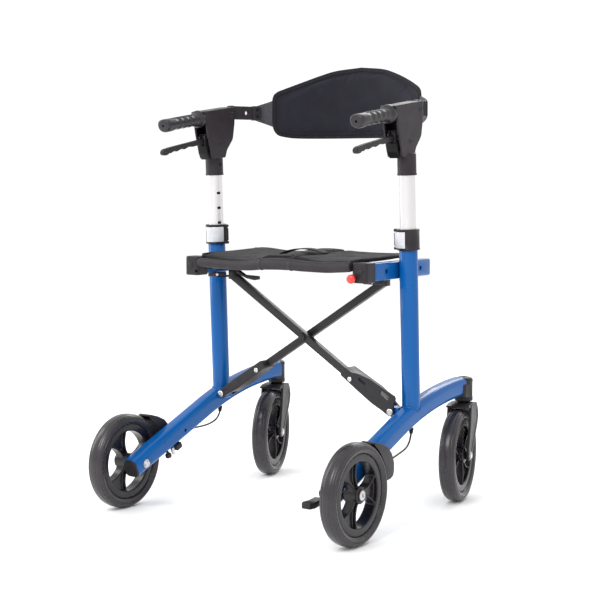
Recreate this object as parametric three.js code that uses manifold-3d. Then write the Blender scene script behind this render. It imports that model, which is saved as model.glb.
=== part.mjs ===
// Four-wheeled walking frame (rollator) with a scissor fold, height-adjustable push handles,
// cable brakes on the rear wheels, swivelling front casters, a sling seat and a backrest strap.
// Millimetres. +X is the user's right, +Y is forward, +Z is up. The origin is on the floor,
// below the middle of the overall box.
import * as THREE from 'three';
import { mergeVertices } from 'three/addons/utils/BufferGeometryUtils.js';
import Module from 'manifold-3d';

const wasm = await Module();
wasm.setup();

// ---------------------------------------------------------------- driving dimensions
const GAP = 0.3; // between pieces that touch
const RUN = 0.3; // radial clearance of a pin or shaft that turns

const WHEEL_RADIUS = 100;
const WHEEL_FACETS = 32;
const TYRE_WIDTH = 35;
const TYRE_BEAD_RADIUS = 80;
const RIM_INNER_RADIUS = 64;
const RIM_WIDTH = 26;
const HUB_RADIUS = 17;
const HUB_WIDTH = 34;

const REAR_WHEEL_X = 290.5;
const REAR_AXLE_Y = -231;
const AXLE_RADIUS = 6;

const CASTER_X = 253;
const CASTER_Y = 272.5;
const CASTER_TRAIL = 44.5;
const REST_SWIVEL = { right: 13.4, left: 18.2 }; // degrees, seen from above
const FORK_GAP = 43;
const FORK_LEG = 6;
const FRONT_AXLE_RADIUS = 4;
const STEM_RADIUS = 8;
const HEAD_RADIUS = 20;
const HEAD_BOTTOM = 213;
const HEAD_TOP = 265;

const POST_X = 249;
const POST_RADIUS = 19;
const POST_WALL = 2;
const POST_FOOT_Y = 62.3; // where the leaning post axis meets the floor
const POST_LEAN = Math.atan(0.0451);
const POST_BOTTOM = 229.5;
const POST_TOP = 590;

const LOWER_TUBE = { width: 38, height: 41, corner: 13, wall: 2.5 };
const LOWER_TUBE_END = [-258, 92];
const LOWER_TUBE_BEND = [-26, 185];
const LOWER_TUBE_PULL = [109, 241.6];
const LOWER_TUBE_FRONT = [262, 246];

const RAIL = { inner: 205, outer: 229.6, bottom: 494, top: 530, rear: -93, front: 160.5, wall: 2.5 };
const RAIL_HOLES_Y = [-15.5, 120.5];
const RAIL_HOLE_RADIUS = 4.6;
const CAP = { inner: 196, outer: 232, rear: -97, front: -61, bottom: 491.5, top: 532.5, corner: 8 };
const KNOB = { x: 201.2, z: 500.5, radius: 9.5, length: 12, stem: 2.8, shank: 18 };

const HINGE_X = 221;
const HINGE_Z = 218.7;
const HINGE_Y = 32;
const CROSS_Z = 361;
const LOWER_ARM = Math.hypot(HINGE_X, CROSS_Z - HINGE_Z);
const UPPER_ARM = 226;
const BAR_ANGLE = Math.atan2(CROSS_Z - HINGE_Z, HINGE_X);
const BAR_EDGES = [-6.5, 9.5]; // below and above the line through the pins
const BAR_DEPTH = 14;
const BAR_PLANES = { front: 42, rear: 22 };
const PIN_RADIUS = 4;
const PIN_HEAD = { radius: 7, height: 2.2 };
const BOLT_HEAD = { radius: 8, height: 4 };
const FOOT_DEPTH = 38;
const LUG_DEPTH = 22;
const GUSSET = 4; // thickness of the plate on the rear of each bar's foot
const SEAT_TUBE = { x: 190, z: 512, radius: 9.5, rear: -58, front: 155 };

const SEAT_THICKNESS = 8;
const SEAT_COLUMNS = [-195.5, -178, -150, -120, -90, -60, -30, 0, 30, 60, 90, 120, 150, 178, 195.5]; // along X
const SEAT_ROWS = [-80, -25, 35, 95, 150]; // along Y
const SEAT_TOP = [ // height of the seat's top, a row for each of SEAT_ROWS
  [540, 534, 528, 525.5, 525.5, 528, 539, 541, 541, 537, 530, 528, 530, 535, 541],
  [541, 537, 534, 532, 531, 532, 537, 540, 540, 537, 533, 531, 532, 536.5, 541],
  [541, 538.5, 536, 534, 533, 534, 538, 541, 541, 538, 535, 534, 535, 537.5, 541.5],
  [542.5, 541, 538, 536, 535.5, 538, 542, 544, 543, 540, 538, 537, 538, 539.5, 542],
  [544, 543, 540, 538, 538, 542, 546, 546, 544, 541, 540, 540, 540, 541, 542],
];
const ROLL = { halfLength: 191, y: -93.5, z: 520.5, radius: 11 };
const STRAP = { y: 30, left: [-62, 537.6], pull: [-6, 559.4], right: [50, 541.8], width: 25, thickness: 3 };

const HEIGHT_TUBE = { radius: 16.7, wall: 2, bottom: 400, top: 745 };
const HEIGHT_SLOTS = { width: 9, height: 6, first: 470, pitch: 33, count: 7, turn: 24 }; // turn in degrees
const COLLAR = { bottom: 554.6, top: 597.6, radius: 24 };
const LEVER_PLATE = { inner: 24.6, outer: 27.6, bottom: 559.5, top: 592.7, from: -16, to: 75, tabEnd: 83 };
const LEVER_PIN_OFFSET = 28.7;
const SLEEVE = { bottom: 708, top: 750, radius: 19.5 };

const HANDLE_X = 243;
const HOUSING_THICKNESS = 37;
const HOUSING_OUTLINE = [
  [-6, 743], [40, 746], [46, 763], [67, 787], [75, 831], [73, 860], [-39, 845], [-32, 838], [-24, 798],
  [-12, 757],
];
const GRIP_START = [-28, 830.2];
const GRIP_SLOPE = THREE.MathUtils.degToRad(8.4);
const GRIP_LENGTH = 136;
const BRAKE_LEVER_OUTLINE = [
  [-1, 785], [-6, 789], [-22, 786], [-150, 762], [-166, 757], [-169, 751], [-160, 746], [-146, 748],
  [-130, 754], [-40, 772], [-14, 774], [-4, 776],
];
const BRAKE_LEVER_WIDTH = 10;

const BRACKET = { turn: THREE.MathUtils.degToRad(18.8), length: 84, height: 30, thickness: 8, z: 847 };
const PAD = { radius: 261.7, centreY: 18.8, thickness: 16, bottom: 792 };
const PAD_OFFSET = -4.5; // the pad hangs a little to the left on its strap, degrees along the arc
const PAD_HALF_OUTLINE = [ // degrees from the pad's middle, height
  [13, 943], [21.7, 932], [30.3, 918], [39, 901], [43, 888], [45.1, 874], [45.8, 850], [45.6, 822],
  [43.5, 802], [39, 795],
];
const PAD_APEX = 949;
const PAD_FLAT = 30; // the bottom edge is straight this far either side of the middle, degrees
const TAB_THICKNESS = 3;
const TAB = { end: 60, overlap: 1.5, padHeight: 66, armHeight: 31 };

const BRAKE_COVER = { inner: 269, outer: 301, wall: 3, reach: 104 };
const SHOE = { inner: 274, outer: 296, face: 104 };
const CABLE_RADIUS = 2;
const CABLE_ROUTE = [ // from inside the height tube, down the post, out under the lower tube, to the brake
  [249, 33.4, 640], [249, 38, 540], [249, 44.7, 390], [249.5, 50.5, 262], [250.5, 50, 215], [251, 49, 196],
  [251, 49, 176], [251.5, 46, 166], [253, 38, 156], [256, 24, 149], [260, 4, 145], [266, -25, 143],
  [271, -52, 141], [276, -78, 139], [279, -96, 138.5], [281, -108, 138.5],
];
const CABLE_ENTRY = [279, 138.5]; // where it enters the brake cover
const PEDAL = { inner: 209, outer: 229, rear: -290, front: -244 };

// ---------------------------------------------------------------- finishes
const FINISHES = {
  paint: { color: 0x2a6fc9, roughness: 0.3, metalness: 0.2 },
  plastic: { color: 0x3e3c40, roughness: 0.55, metalness: 0.0 },
  anodised: { color: 0xd8dade, roughness: 0.3, metalness: 0.9 },
  steel: { color: 0xb9bcc0, roughness: 0.3, metalness: 1.0 },
  lever: { color: 0xdfe3e6, roughness: 0.35, metalness: 0.1 },
  black_paint: { color: 0x2f2e31, roughness: 0.45, metalness: 0.2 },
  tyre: { color: 0x4a484c, roughness: 0.8, metalness: 0.0 },
  rim: { color: 0x2a292c, roughness: 0.5, metalness: 0.0 },
  fabric: { color: 0x24232a, roughness: 0.9, metalness: 0.0 },
  vinyl: { color: 0x3b3a3e, roughness: 0.5, metalness: 0.0 },
  red: { color: 0xd8302c, roughness: 0.35, metalness: 0.0 },
  cap: { color: 0xc9cacc, roughness: 0.4, metalness: 0.2 },
  cable: { color: 0x1f1f21, roughness: 0.6, metalness: 0.0 },
};

// ---------------------------------------------------------------- solids
function signedVolume(geometry) {
  const position = geometry.attributes.position;
  const index = geometry.index;
  const [a, b, c] = [new THREE.Vector3(), new THREE.Vector3(), new THREE.Vector3()];
  let volume = 0;
  for (let i = 0; i < index.count; i += 3) {
    a.fromBufferAttribute(position, index.getX(i));
    b.fromBufferAttribute(position, index.getX(i + 1));
    c.fromBufferAttribute(position, index.getX(i + 2));
    volume += a.dot(b.cross(c)) / 6;
  }
  return volume;
}

// Welds a geometry, drops triangles of no area and turns it inside out if its faces point inwards.
function toSolid(geometry) {
  const plain = geometry.clone();
  plain.deleteAttribute('normal');
  plain.deleteAttribute('uv');
  const welded = mergeVertices(plain, 1e-3);
  const corners = welded.index.array;
  const kept = [];
  for (let i = 0; i < corners.length; i += 3) {
    const [a, b, c] = [corners[i], corners[i + 1], corners[i + 2]];
    if (a !== b && b !== c && c !== a) kept.push(a, b, c);
  }
  welded.setIndex(kept);
  if (signedVolume(welded) < 0) {
    for (let i = 0; i < kept.length; i += 3) [kept[i], kept[i + 1]] = [kept[i + 1], kept[i]];
  }
  return new wasm.Manifold(new wasm.Mesh({
    numProp: 3,
    vertProperties: new Float32Array(welded.attributes.position.array),
    triVerts: new Uint32Array(kept),
  }));
}

function toGeometry(solid) {
  const mesh = solid.getMesh();
  const geometry = new THREE.BufferGeometry();
  geometry.setAttribute('position', new THREE.BufferAttribute(new Float32Array(mesh.vertProperties), 3));
  geometry.setIndex(new THREE.BufferAttribute(new Uint32Array(mesh.triVerts), 1));
  geometry.computeVertexNormals();
  return geometry;
}

function join(first, ...others) {
  return toGeometry(others.reduce((solid, other) => solid.add(toSolid(other)), toSolid(first)));
}

function cut(first, ...tools) {
  return toGeometry(tools.reduce((solid, tool) => solid.subtract(toSolid(tool)), toSolid(first)));
}

function common(first, second) {
  return toGeometry(toSolid(first).intersect(toSolid(second)));
}

function mirrored(geometry) {
  return toGeometry(toSolid(geometry.clone().scale(-1, 1, 1)));
}

// ---------------------------------------------------------------- basic shapes
function block(low, high) {
  const size = high.map((value, i) => value - low[i]);
  const middle = high.map((value, i) => (value + low[i]) / 2);
  return new THREE.BoxGeometry(...size).translate(...middle);
}

function rodX(radius, from, to, y, z, sides = 16) {
  return new THREE.CylinderGeometry(radius, radius, to - from, sides)
    .rotateZ(Math.PI / 2).translate((from + to) / 2, y, z);
}

function rodY(radius, from, to, x, z, sides = 16) {
  return new THREE.CylinderGeometry(radius, radius, to - from, sides).translate(x, (from + to) / 2, z);
}

function rodZ(radius, from, to, x, y, sides = 24) {
  return new THREE.CylinderGeometry(radius, radius, to - from, sides)
    .rotateX(Math.PI / 2).translate(x, y, (from + to) / 2);
}

// A profile of [radius, height] pairs turned about Z.
function turned(profile, facets) {
  const points = profile.map(([radius, height]) => new THREE.Vector2(radius, height));
  return new THREE.LatheGeometry(points, facets).rotateX(Math.PI / 2);
}

function ring(inner, outer, bottom, top, facets = 24) {
  return turned([[inner, bottom], [outer, bottom], [outer, top], [inner, top], [inner, bottom]], facets);
}

function outline(points) {
  return new THREE.Shape(points.map(([a, b]) => new THREE.Vector2(a, b)));
}

function roundedRectangle(width, height, corner) {
  const [w, h] = [width / 2, height / 2];
  const shape = new THREE.Shape();
  shape.absarc(w - corner, h - corner, corner, 0, Math.PI / 2);
  shape.absarc(corner - w, h - corner, corner, Math.PI / 2, Math.PI);
  shape.absarc(corner - w, corner - h, corner, Math.PI, Math.PI * 1.5);
  shape.absarc(w - corner, corner - h, corner, Math.PI * 1.5, Math.PI * 2);
  return shape;
}

function extrude(shape, depth, curveSegments = 2) {
  return new THREE.ExtrudeGeometry(shape, { depth, bevelEnabled: false, curveSegments });
}

// The outline's two axes are Y and Z, and it is as thick as from..to along X.
function plateX(shape, from, to) {
  const turn = new THREE.Matrix4().makeBasis(
    new THREE.Vector3(0, 1, 0), new THREE.Vector3(0, 0, 1), new THREE.Vector3(1, 0, 0));
  return extrude(shape, to - from).applyMatrix4(turn).translate(from, 0, 0);
}

// The outline's two axes are X and Z, and it is as thick as from..to along Y.
function plateY(shape, from, to) {
  return extrude(shape, to - from).rotateX(Math.PI / 2).translate(0, to, 0);
}

function plateZ(shape, from, to) {
  return extrude(shape, to - from).translate(0, 0, from);
}

// A flat arc about the Z axis; angles in degrees from the rear (-Y) towards the inner side (-X).
function arcBand(inner, outer, from, to, bottom, top, steps = 8) {
  const corners = [];
  for (let i = 0; i <= steps; i += 1) {
    const angle = THREE.MathUtils.degToRad(from + (to - from) * i / steps);
    corners.push([-Math.sin(angle), -Math.cos(angle)]);
  }
  const points = corners.map(([x, y]) => [x * outer, y * outer]);
  points.push(...corners.reverse().map(([x, y]) => [x * inner, y * inner]));
  return plateZ(outline(points), bottom, top);
}

const ON_POST = new THREE.Matrix4().makeTranslation(POST_X, POST_FOOT_Y, 0)
  .multiply(new THREE.Matrix4().makeRotationX(POST_LEAN));

// ---------------------------------------------------------------- side frame, right-hand side
function lowerTubePath() {
  const at = ([y, z]) => new THREE.Vector3(POST_X, y, z);
  const path = new THREE.CurvePath();
  path.add(new THREE.LineCurve3(at(LOWER_TUBE_END), at(LOWER_TUBE_BEND)));
  path.add(new THREE.QuadraticBezierCurve3(at(LOWER_TUBE_BEND), at(LOWER_TUBE_PULL), at(LOWER_TUBE_FRONT)));
  return path;
}

function lowerTubeSweep(grow, hollow) {
  const { width, height, corner, wall } = LOWER_TUBE;
  const section = roundedRectangle(width + 2 * grow, height + 2 * grow, corner + grow);
  if (hollow) section.holes.push(roundedRectangle(width - 2 * wall, height - 2 * wall, corner - wall));
  return new THREE.ExtrudeGeometry(section, {
    steps: 14, extrudePath: lowerTubePath(), bevelEnabled: false, curveSegments: 2,
  });
}

function lowerTube() {
  const lugEnd = rodY(11, HINGE_Y - LUG_DEPTH / 2, HINGE_Y + LUG_DEPTH / 2, HINGE_X, HINGE_Z, 20);
  const lug = block(
    [HINGE_X, HINGE_Y - LUG_DEPTH / 2, HINGE_Z - 11], [POST_X - 15, HINGE_Y + LUG_DEPTH / 2, HINGE_Z + 9]);
  return cut(
    join(lowerTubeSweep(0, true), lugEnd, lug),
    rodY(PIN_RADIUS + RUN, 0, 70, HINGE_X, HINGE_Z),
    rodX(AXLE_RADIUS + GAP, 200, 300, REAR_AXLE_Y, WHEEL_RADIUS),
    rodZ(HEAD_RADIUS + GAP, 150, 300, CASTER_X, CASTER_Y),
    rodX(4, 200, POST_X, -100, 152, 10),
    rodZ(9, 212, 250, POST_X, 51),
    rodZ(3.5, 170, 205, 251, 49, 12),
  );
}

function upright() {
  const tube = ring(POST_RADIUS - POST_WALL, POST_RADIUS, POST_BOTTOM, POST_TOP).applyMatrix4(ON_POST);
  return cut(tube, lowerTubeSweep(GAP, false));
}

function seatRail() {
  const { inner, outer, bottom, top, rear, front, wall } = RAIL;
  const section = roundedRectangle(outer - inner, top - bottom, 4);
  const bar = plateY(section, rear, front).translate((outer + inner) / 2, 0, (top + bottom) / 2);
  const hollow = block([inner + wall, rear - 1, bottom + wall], [outer - wall, front - wall, top - wall]);
  const holes = RAIL_HOLES_Y.map(
    (y) => rodX(RAIL_HOLE_RADIUS, outer - 5, outer + 5, y, (top + bottom) / 2, 12));
  return cut(bar, hollow, ...holes);
}

function railCap() {
  const { inner, outer, rear, front, bottom, top, corner } = CAP;
  const plan = new THREE.Shape();
  plan.moveTo(inner, front);
  plan.absarc(inner + corner, rear + corner, corner, Math.PI, Math.PI * 1.5);
  plan.absarc(outer - corner, rear + corner, corner, Math.PI * 1.5, Math.PI * 2);
  plan.lineTo(outer, front);
  const pocket = block(
    [RAIL.inner - GAP, RAIL.rear - GAP, RAIL.bottom - GAP], [RAIL.outer + GAP, front + 1, RAIL.top + GAP]);
  const lockBore = rodY(KNOB.stem + RUN, rear - 1, rear + KNOB.shank, KNOB.x, KNOB.z, 12);
  return cut(plateZ(plan, bottom, top), pocket, lockBore);
}

function clampCollar() {
  const body = turned([
    [POST_RADIUS + GAP, COLLAR.bottom], [COLLAR.radius, COLLAR.bottom], [COLLAR.radius, COLLAR.top],
    [HEIGHT_TUBE.radius + GAP, COLLAR.top], [HEIGHT_TUBE.radius + GAP, POST_TOP + GAP],
    [POST_RADIUS + GAP, POST_TOP + GAP], [POST_RADIUS + GAP, COLLAR.bottom],
  ], 24);
  const ears = [COLLAR.bottom, COLLAR.top - 6].map((bottom) => cut(
    block([-LEVER_PIN_OFFSET - 3.5, -4.5, bottom], [-20, 4.5, bottom + 6]),
    rodZ(POST_RADIUS + 2, bottom - 1, bottom + 7, 0, 0)));
  const pin = rodZ(2.5, COLLAR.bottom + 1, COLLAR.top - 1, -LEVER_PIN_OFFSET, 0, 12);
  return join(body, ...ears, pin).applyMatrix4(ON_POST);
}

function clampLever() {
  const { inner, outer, bottom, top, from, to, tabEnd } = LEVER_PLATE;
  const plate = arcBand(inner, outer, from, to, bottom, top);
  const tab = arcBand(inner, outer, to - 4, tabEnd, bottom + 3, top - 3, 3);
  const knuckle = rodZ(4.4, bottom + 3, top - 3, -LEVER_PIN_OFFSET, 0, 16);
  const pinBore = rodZ(2.5 + RUN, bottom, top, -LEVER_PIN_OFFSET, 0, 12);
  return cut(join(plate, tab, knuckle), pinBore).applyMatrix4(ON_POST);
}

// ---------------------------------------------------------------- handles, right-hand side
function heightTube() {
  const { radius, wall, bottom, top } = HEIGHT_TUBE;
  const { width, height, first, pitch, count, turn } = HEIGHT_SLOTS;
  const slots = Array.from({ length: count }, (_, i) => block(
    [-radius - 1, -width / 2, first + i * pitch - height / 2],
    [-radius + wall + 2, width / 2, first + i * pitch + height / 2]).rotateZ(THREE.MathUtils.degToRad(turn)));
  return cut(ring(radius - wall, radius, bottom, top), ...slots).applyMatrix4(ON_POST);
}

function housingBody() {
  const half = HOUSING_THICKNESS / 2;
  const side = plateX(outline(HOUSING_OUTLINE), HANDLE_X - half, HANDLE_X + half);
  const across = plateZ(roundedRectangle(HOUSING_THICKNESS, 130, 9), 700, 900).translate(HANDLE_X, 14, 0);
  return common(side, across);
}

function handleHousing() {
  const sleeve = ring(0, SLEEVE.radius, SLEEVE.bottom, SLEEVE.top).applyMatrix4(ON_POST);
  const bore = ring(
    0, HEIGHT_TUBE.radius + GAP, SLEEVE.bottom - 1, HEIGHT_TUBE.top + GAP).applyMatrix4(ON_POST);
  const slot = block([HANDLE_X - 7, -70, 762], [HANDLE_X + 7, 8, 800]);
  return cut(join(housingBody(), sleeve), bore, slot);
}

function handGrip() {
  const profile = [
    [0, 0], [17.5, 0], [18.5, 6], [18.5, 14], [15.5, 22], [15.5, 70], [16.5, 110], [16.5, GRIP_LENGTH - 6],
    [13, GRIP_LENGTH], [0, GRIP_LENGTH],
  ];
  const body = turned(profile, 24).rotateX(Math.PI / 2 + GRIP_SLOPE)
    .translate(HANDLE_X, GRIP_START[0], GRIP_START[1]);
  return cut(body, housingBody().translate(0, -GAP, 0));
}

function brakeLever() {
  const half = BRAKE_LEVER_WIDTH / 2;
  return plateX(outline(BRAKE_LEVER_OUTLINE), HANDLE_X - half, HANDLE_X + half);
}

function backrestBracket() {
  const { turn, length, height, thickness, z } = BRACKET;
  const arm = block([-thickness / 2, -8, -height / 2], [thickness / 2, length, height / 2]);
  const hole = rodX(2.5, -thickness, thickness, length * 0.55, 0, 10);
  const placed = cut(arm, hole).rotateZ(turn).translate(HANDLE_X, 76, z);
  return cut(placed, housingBody().translate(0, GAP, 0), housingBody().translate(0, 0, GAP));
}

// ---------------------------------------------------------------- cross frame
// Local axes: X along the bar from the foot pin, Z across it, Y through it. The pin is at the origin.
function crossBar(plane) {
  const along = LOWER_ARM + UPPER_ARM;
  const [lowEdge, highEdge] = BAR_EDGES;
  const bar = block([30, plane - BAR_DEPTH / 2, lowEdge], [along, plane + BAR_DEPTH / 2, highEdge]);
  const [rear, front] = [HINGE_Y - FOOT_DEPTH / 2, HINGE_Y + FOOT_DEPTH / 2];
  const foot = plateY(outline([
    [-8, 3], [-8, -3], [-4, -8.3], [0, -9], [60, -11], [140, -9], [140, 11], [60, 17], [40, 16], [28, 14.5],
    [16, 10.5], [5, 8.4], [-4, 7.6],
  ]), rear, front);
  const gusset = plateY(outline([
    [-6, 0], [4, -8], [45, -12], [95, -11], [135, -9], [140, 3], [128, 9], [104, 20], [76, 28], [36, 31.5],
    [10, 34], [5, 31], [0, 15], [-3, 8],
  ]), rear, rear + GUSSET);
  const pocket = block([-20, HINGE_Y - LUG_DEPTH / 2 - 1, -30], [24, HINGE_Y + LUG_DEPTH / 2 + 1, 40]);
  const slot = plateY(roundedRectangle(26, 8, 3.9), 0, 70).translate(29, 0, 21.3);
  const blindSlot = plateY(roundedRectangle(20, 6, 2.9), 0, rear + GUSSET).translate(89, 0, 12.3);
  const saddleBottom = CROSS_Z + (SEAT_TUBE.x) * Math.tan(BAR_ANGLE) - 6;
  const saddle = block(
    [SEAT_TUBE.x - 9, plane - BAR_DEPTH / 2, saddleBottom],
    [SEAT_TUBE.x + 9, plane + BAR_DEPTH / 2, SEAT_TUBE.z - 4])
    .translate(HINGE_X, 0, -HINGE_Z).rotateY(BAR_ANGLE);
  const tubeSeat = rodY(SEAT_TUBE.radius + GAP, 0, 70, SEAT_TUBE.x + HINGE_X, SEAT_TUBE.z - HINGE_Z)
    .rotateY(BAR_ANGLE);
  const body = cut(
    join(bar, foot, gusset, saddle),
    pocket, slot, blindSlot, tubeSeat,
    rodY(PIN_RADIUS + GAP, 0, 70, 0, 0),
    rodY(PIN_RADIUS + RUN, 0, 70, LOWER_ARM, 0),
  );
  return body.rotateY(-BAR_ANGLE).translate(-HINGE_X, 0, HINGE_Z);
}

function headedPin(head, from, to, x, z) {
  return join(
    rodY(PIN_RADIUS, from + 1, to - 1, x, z),
    rodY(head.radius, from, from + head.height, x, z),
    rodY(head.radius, to - head.height, to, x, z));
}

// ---------------------------------------------------------------- brakes, right-hand side
function brakeCover() {
  const around = (points) => outline(points.map(([u, w]) => [REAR_AXLE_Y + u, WHEEL_RADIUS + w]));
  const shell = plateX(around([
    [56, 90], [62, 92], [86, 85], [108, 75], [122, 61], [130, 43], [131, 28], [127, 15], [116, 11], [100, 9],
  ]), BRAKE_COVER.inner, BRAKE_COVER.outer);
  const pocket = plateX(around([
    [40, 82], [62, 88.5], [85, 81.5], [105.5, 72.5], [118.5, 59.5], [126.5, 42.5], [127.5, 29], [123, 19],
    [90, 18],
  ]), BRAKE_COVER.inner + BRAKE_COVER.wall, BRAKE_COVER.outer - BRAKE_COVER.wall);
  const wheelRoom = rodX(
    BRAKE_COVER.reach, BRAKE_COVER.inner - 1, BRAKE_COVER.outer + 1, REAR_AXLE_Y, WHEEL_RADIUS, 48);
  const cableHole = rodY(CABLE_RADIUS + 2, -156, -36, ...CABLE_ENTRY, 10);
  return cut(shell, pocket, wheelRoom, cableHole);
}

function brakeShoe() {
  const around = (points) => outline(points.map(([u, w]) => [REAR_AXLE_Y + u, WHEEL_RADIUS + w]));
  const body = plateX(around([
    [70, 74], [73.6, 81.7], [89, 70], [101.5, 54.5], [109, 40], [104, 30], [94, 30],
  ]), SHOE.inner, SHOE.outer);
  return cut(body, rodX(SHOE.face, SHOE.inner - 1, SHOE.outer + 1, REAR_AXLE_Y, WHEEL_RADIUS, 48));
}

function brakeCable() {
  const path = new THREE.CatmullRomCurve3(CABLE_ROUTE.map((point) => new THREE.Vector3(...point)));
  const section = new THREE.Shape();
  section.absarc(0, 0, CABLE_RADIUS, 0, Math.PI * 2);
  return new THREE.ExtrudeGeometry(section, {
    steps: 70, extrudePath: path, bevelEnabled: false, curveSegments: 4,
  });
}

function tipPedal() {
  const side = outline([
    [PEDAL.rear, 73], [PEDAL.rear, 86], [PEDAL.rear + 18, 85], [PEDAL.front, 88], [PEDAL.front, 76],
    [PEDAL.rear + 18, 72],
  ]);
  return plateX(side, PEDAL.inner, PEDAL.outer);
}

// ---------------------------------------------------------------- wheels, spinning about local X
function alongX(geometry) {
  return geometry.rotateZ(Math.PI / WHEEL_FACETS).rotateY(Math.PI / 2);
}

function tyre() {
  const tread = WHEEL_RADIUS / Math.cos(Math.PI / WHEEL_FACETS);
  const half = TYRE_WIDTH / 2;
  return alongX(turned([
    [TYRE_BEAD_RADIUS, -half + 4], [TYRE_BEAD_RADIUS + 8, -half], [tread - 8, -half], [tread - 2, -half + 5],
    [tread, -half + 10], [tread, half - 10], [tread - 2, half - 5], [tread - 8, half],
    [TYRE_BEAD_RADIUS + 8, half], [TYRE_BEAD_RADIUS, half - 4], [TYRE_BEAD_RADIUS, -half + 4],
  ], WHEEL_FACETS));
}

function rim(boreRadius, turn) {
  const outer = TYRE_BEAD_RADIUS - GAP;
  const half = RIM_WIDTH / 2;
  const band = ring(RIM_INNER_RADIUS, outer, -half, half, WHEEL_FACETS);
  const hub = ring(boreRadius, HUB_RADIUS, -HUB_WIDTH / 2, HUB_WIDTH / 2, 20);
  const spoke = plateZ(outline([
    [HUB_RADIUS - 4, -8], [34, -10.5], [53, -18], [RIM_INNER_RADIUS + 3, -29], [RIM_INNER_RADIUS + 3, 29],
    [53, 18], [34, 10.5], [HUB_RADIUS - 4, 8],
  ]), -7, 7);
  const spokes = [0, 1, 2].map((i) => spoke.clone().rotateZ(turn + i * Math.PI * 2 / 3));
  return alongX(join(band, hub, ...spokes));
}

function rearAxle() {
  const tubeInner = POST_X - LOWER_TUBE.width / 2;
  const end = REAR_WHEEL_X + HUB_WIDTH / 2 - 2;
  return join(
    rodX(AXLE_RADIUS, tubeInner - 3, end, REAR_AXLE_Y, WHEEL_RADIUS),
    rodX(9, tubeInner - 4.5, tubeInner - GAP, REAR_AXLE_Y, WHEEL_RADIUS, 6));
}

function hubCap() {
  const start = REAR_WHEEL_X + HUB_WIDTH / 2 + GAP;
  return rodX(13, start, start + 2.5, REAR_AXLE_Y, WHEEL_RADIUS, 24);
}

// ---------------------------------------------------------------- caster, local to its steering axis
function casterHead() {
  const body = turned([
    [STEM_RADIUS + RUN, HEAD_BOTTOM], [HEAD_RADIUS, HEAD_BOTTOM], [HEAD_RADIUS, HEAD_TOP - 6],
    [HEAD_RADIUS - 6, HEAD_TOP], [0, HEAD_TOP], [0, HEAD_TOP - 8], [STEM_RADIUS + RUN, HEAD_TOP - 8],
    [STEM_RADIUS + RUN, HEAD_BOTTOM],
  ], 24);
  return body.translate(CASTER_X, CASTER_Y, 0);
}

function casterFork() {
  const legOutline = outline([
    [-34, 210], [10, 210], [21, 197], [26, 180], [19, 160], [-32, 92], [-38, 88.5], [-50, 88.5], [-57, 96],
    [-57, 106], [-44, 150],
  ]);
  const inner = FORK_GAP / 2;
  const legs = [-inner - FORK_LEG, inner].map((from) => plateX(legOutline, from, from + FORK_LEG));
  const crown = block([-inner - 1, -34, 203.5], [inner + 1, 20, 210]);
  const stem = rodZ(STEM_RADIUS, 208, HEAD_TOP - 9, 0, 0, 20);
  const boss = rodZ(14, 209, HEAD_BOTTOM - 1, 0, 0, 20);
  const axleBore = rodX(FRONT_AXLE_RADIUS + GAP, -40, 40, -CASTER_TRAIL, WHEEL_RADIUS, 14);
  return cut(join(crown, ...legs, boss, stem), axleBore);
}

function frontAxle() {
  const reach = FORK_GAP / 2 + FORK_LEG + GAP;
  return join(
    rodX(FRONT_AXLE_RADIUS, -reach - 1, reach + 1, -CASTER_TRAIL, WHEEL_RADIUS, 14),
    rodX(8, reach, reach + 3.5, -CASTER_TRAIL, WHEEL_RADIUS, 6),
    rodX(8, -reach - 3.5, -reach, -CASTER_TRAIL, WHEEL_RADIUS, 6));
}

// ---------------------------------------------------------------- soft parts
// A padded sheet of even thickness that waves up and down over a grid of columns and rows.
function seatSling() {
  const across = SEAT_COLUMNS.length;
  const rowCount = SEAT_ROWS.length;
  const layer = across * rowCount;
  const points = [];
  for (const drop of [0, SEAT_THICKNESS]) {
    SEAT_ROWS.forEach((y, row) => {
      SEAT_COLUMNS.forEach((x, column) => points.push(x, y, SEAT_TOP[row][column] - drop));
    });
  }
  const corners = [];
  const quad = (a, b, c, d) => corners.push(a, b, c, a, c, d);
  for (let row = 0; row < rowCount - 1; row += 1) {
    for (let column = 0; column < across - 1; column += 1) {
      const at = row * across + column;
      quad(at, at + 1, at + across + 1, at + across);
      quad(at + layer, at + layer + across, at + layer + across + 1, at + layer + 1);
    }
  }
  for (let column = 0; column < across - 1; column += 1) {
    const last = (rowCount - 1) * across + column;
    quad(column, column + layer, column + layer + 1, column + 1);
    quad(last, last + 1, last + layer + 1, last + layer);
  }
  for (let row = 0; row < rowCount - 1; row += 1) {
    const first = row * across;
    const last = first + across - 1;
    quad(first, first + across, first + layer + across, first + layer);
    quad(last, last + layer, last + layer + across, last + across);
  }
  const geometry = new THREE.BufferGeometry();
  geometry.setAttribute('position', new THREE.Float32BufferAttribute(points, 3));
  geometry.setIndex(corners);
  return geometry;
}

function seatStrap() {
  const { y, left, pull, right, width, thickness } = STRAP;
  const path = new THREE.QuadraticBezierCurve3(
    ...[left, pull, right].map(([x, z]) => new THREE.Vector3(x, y, z)));
  const section = roundedRectangle(width, thickness, 1);
  return new THREE.ExtrudeGeometry(section, {
    steps: 12, extrudePath: path, bevelEnabled: false, curveSegments: 1,
  });
}

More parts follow.
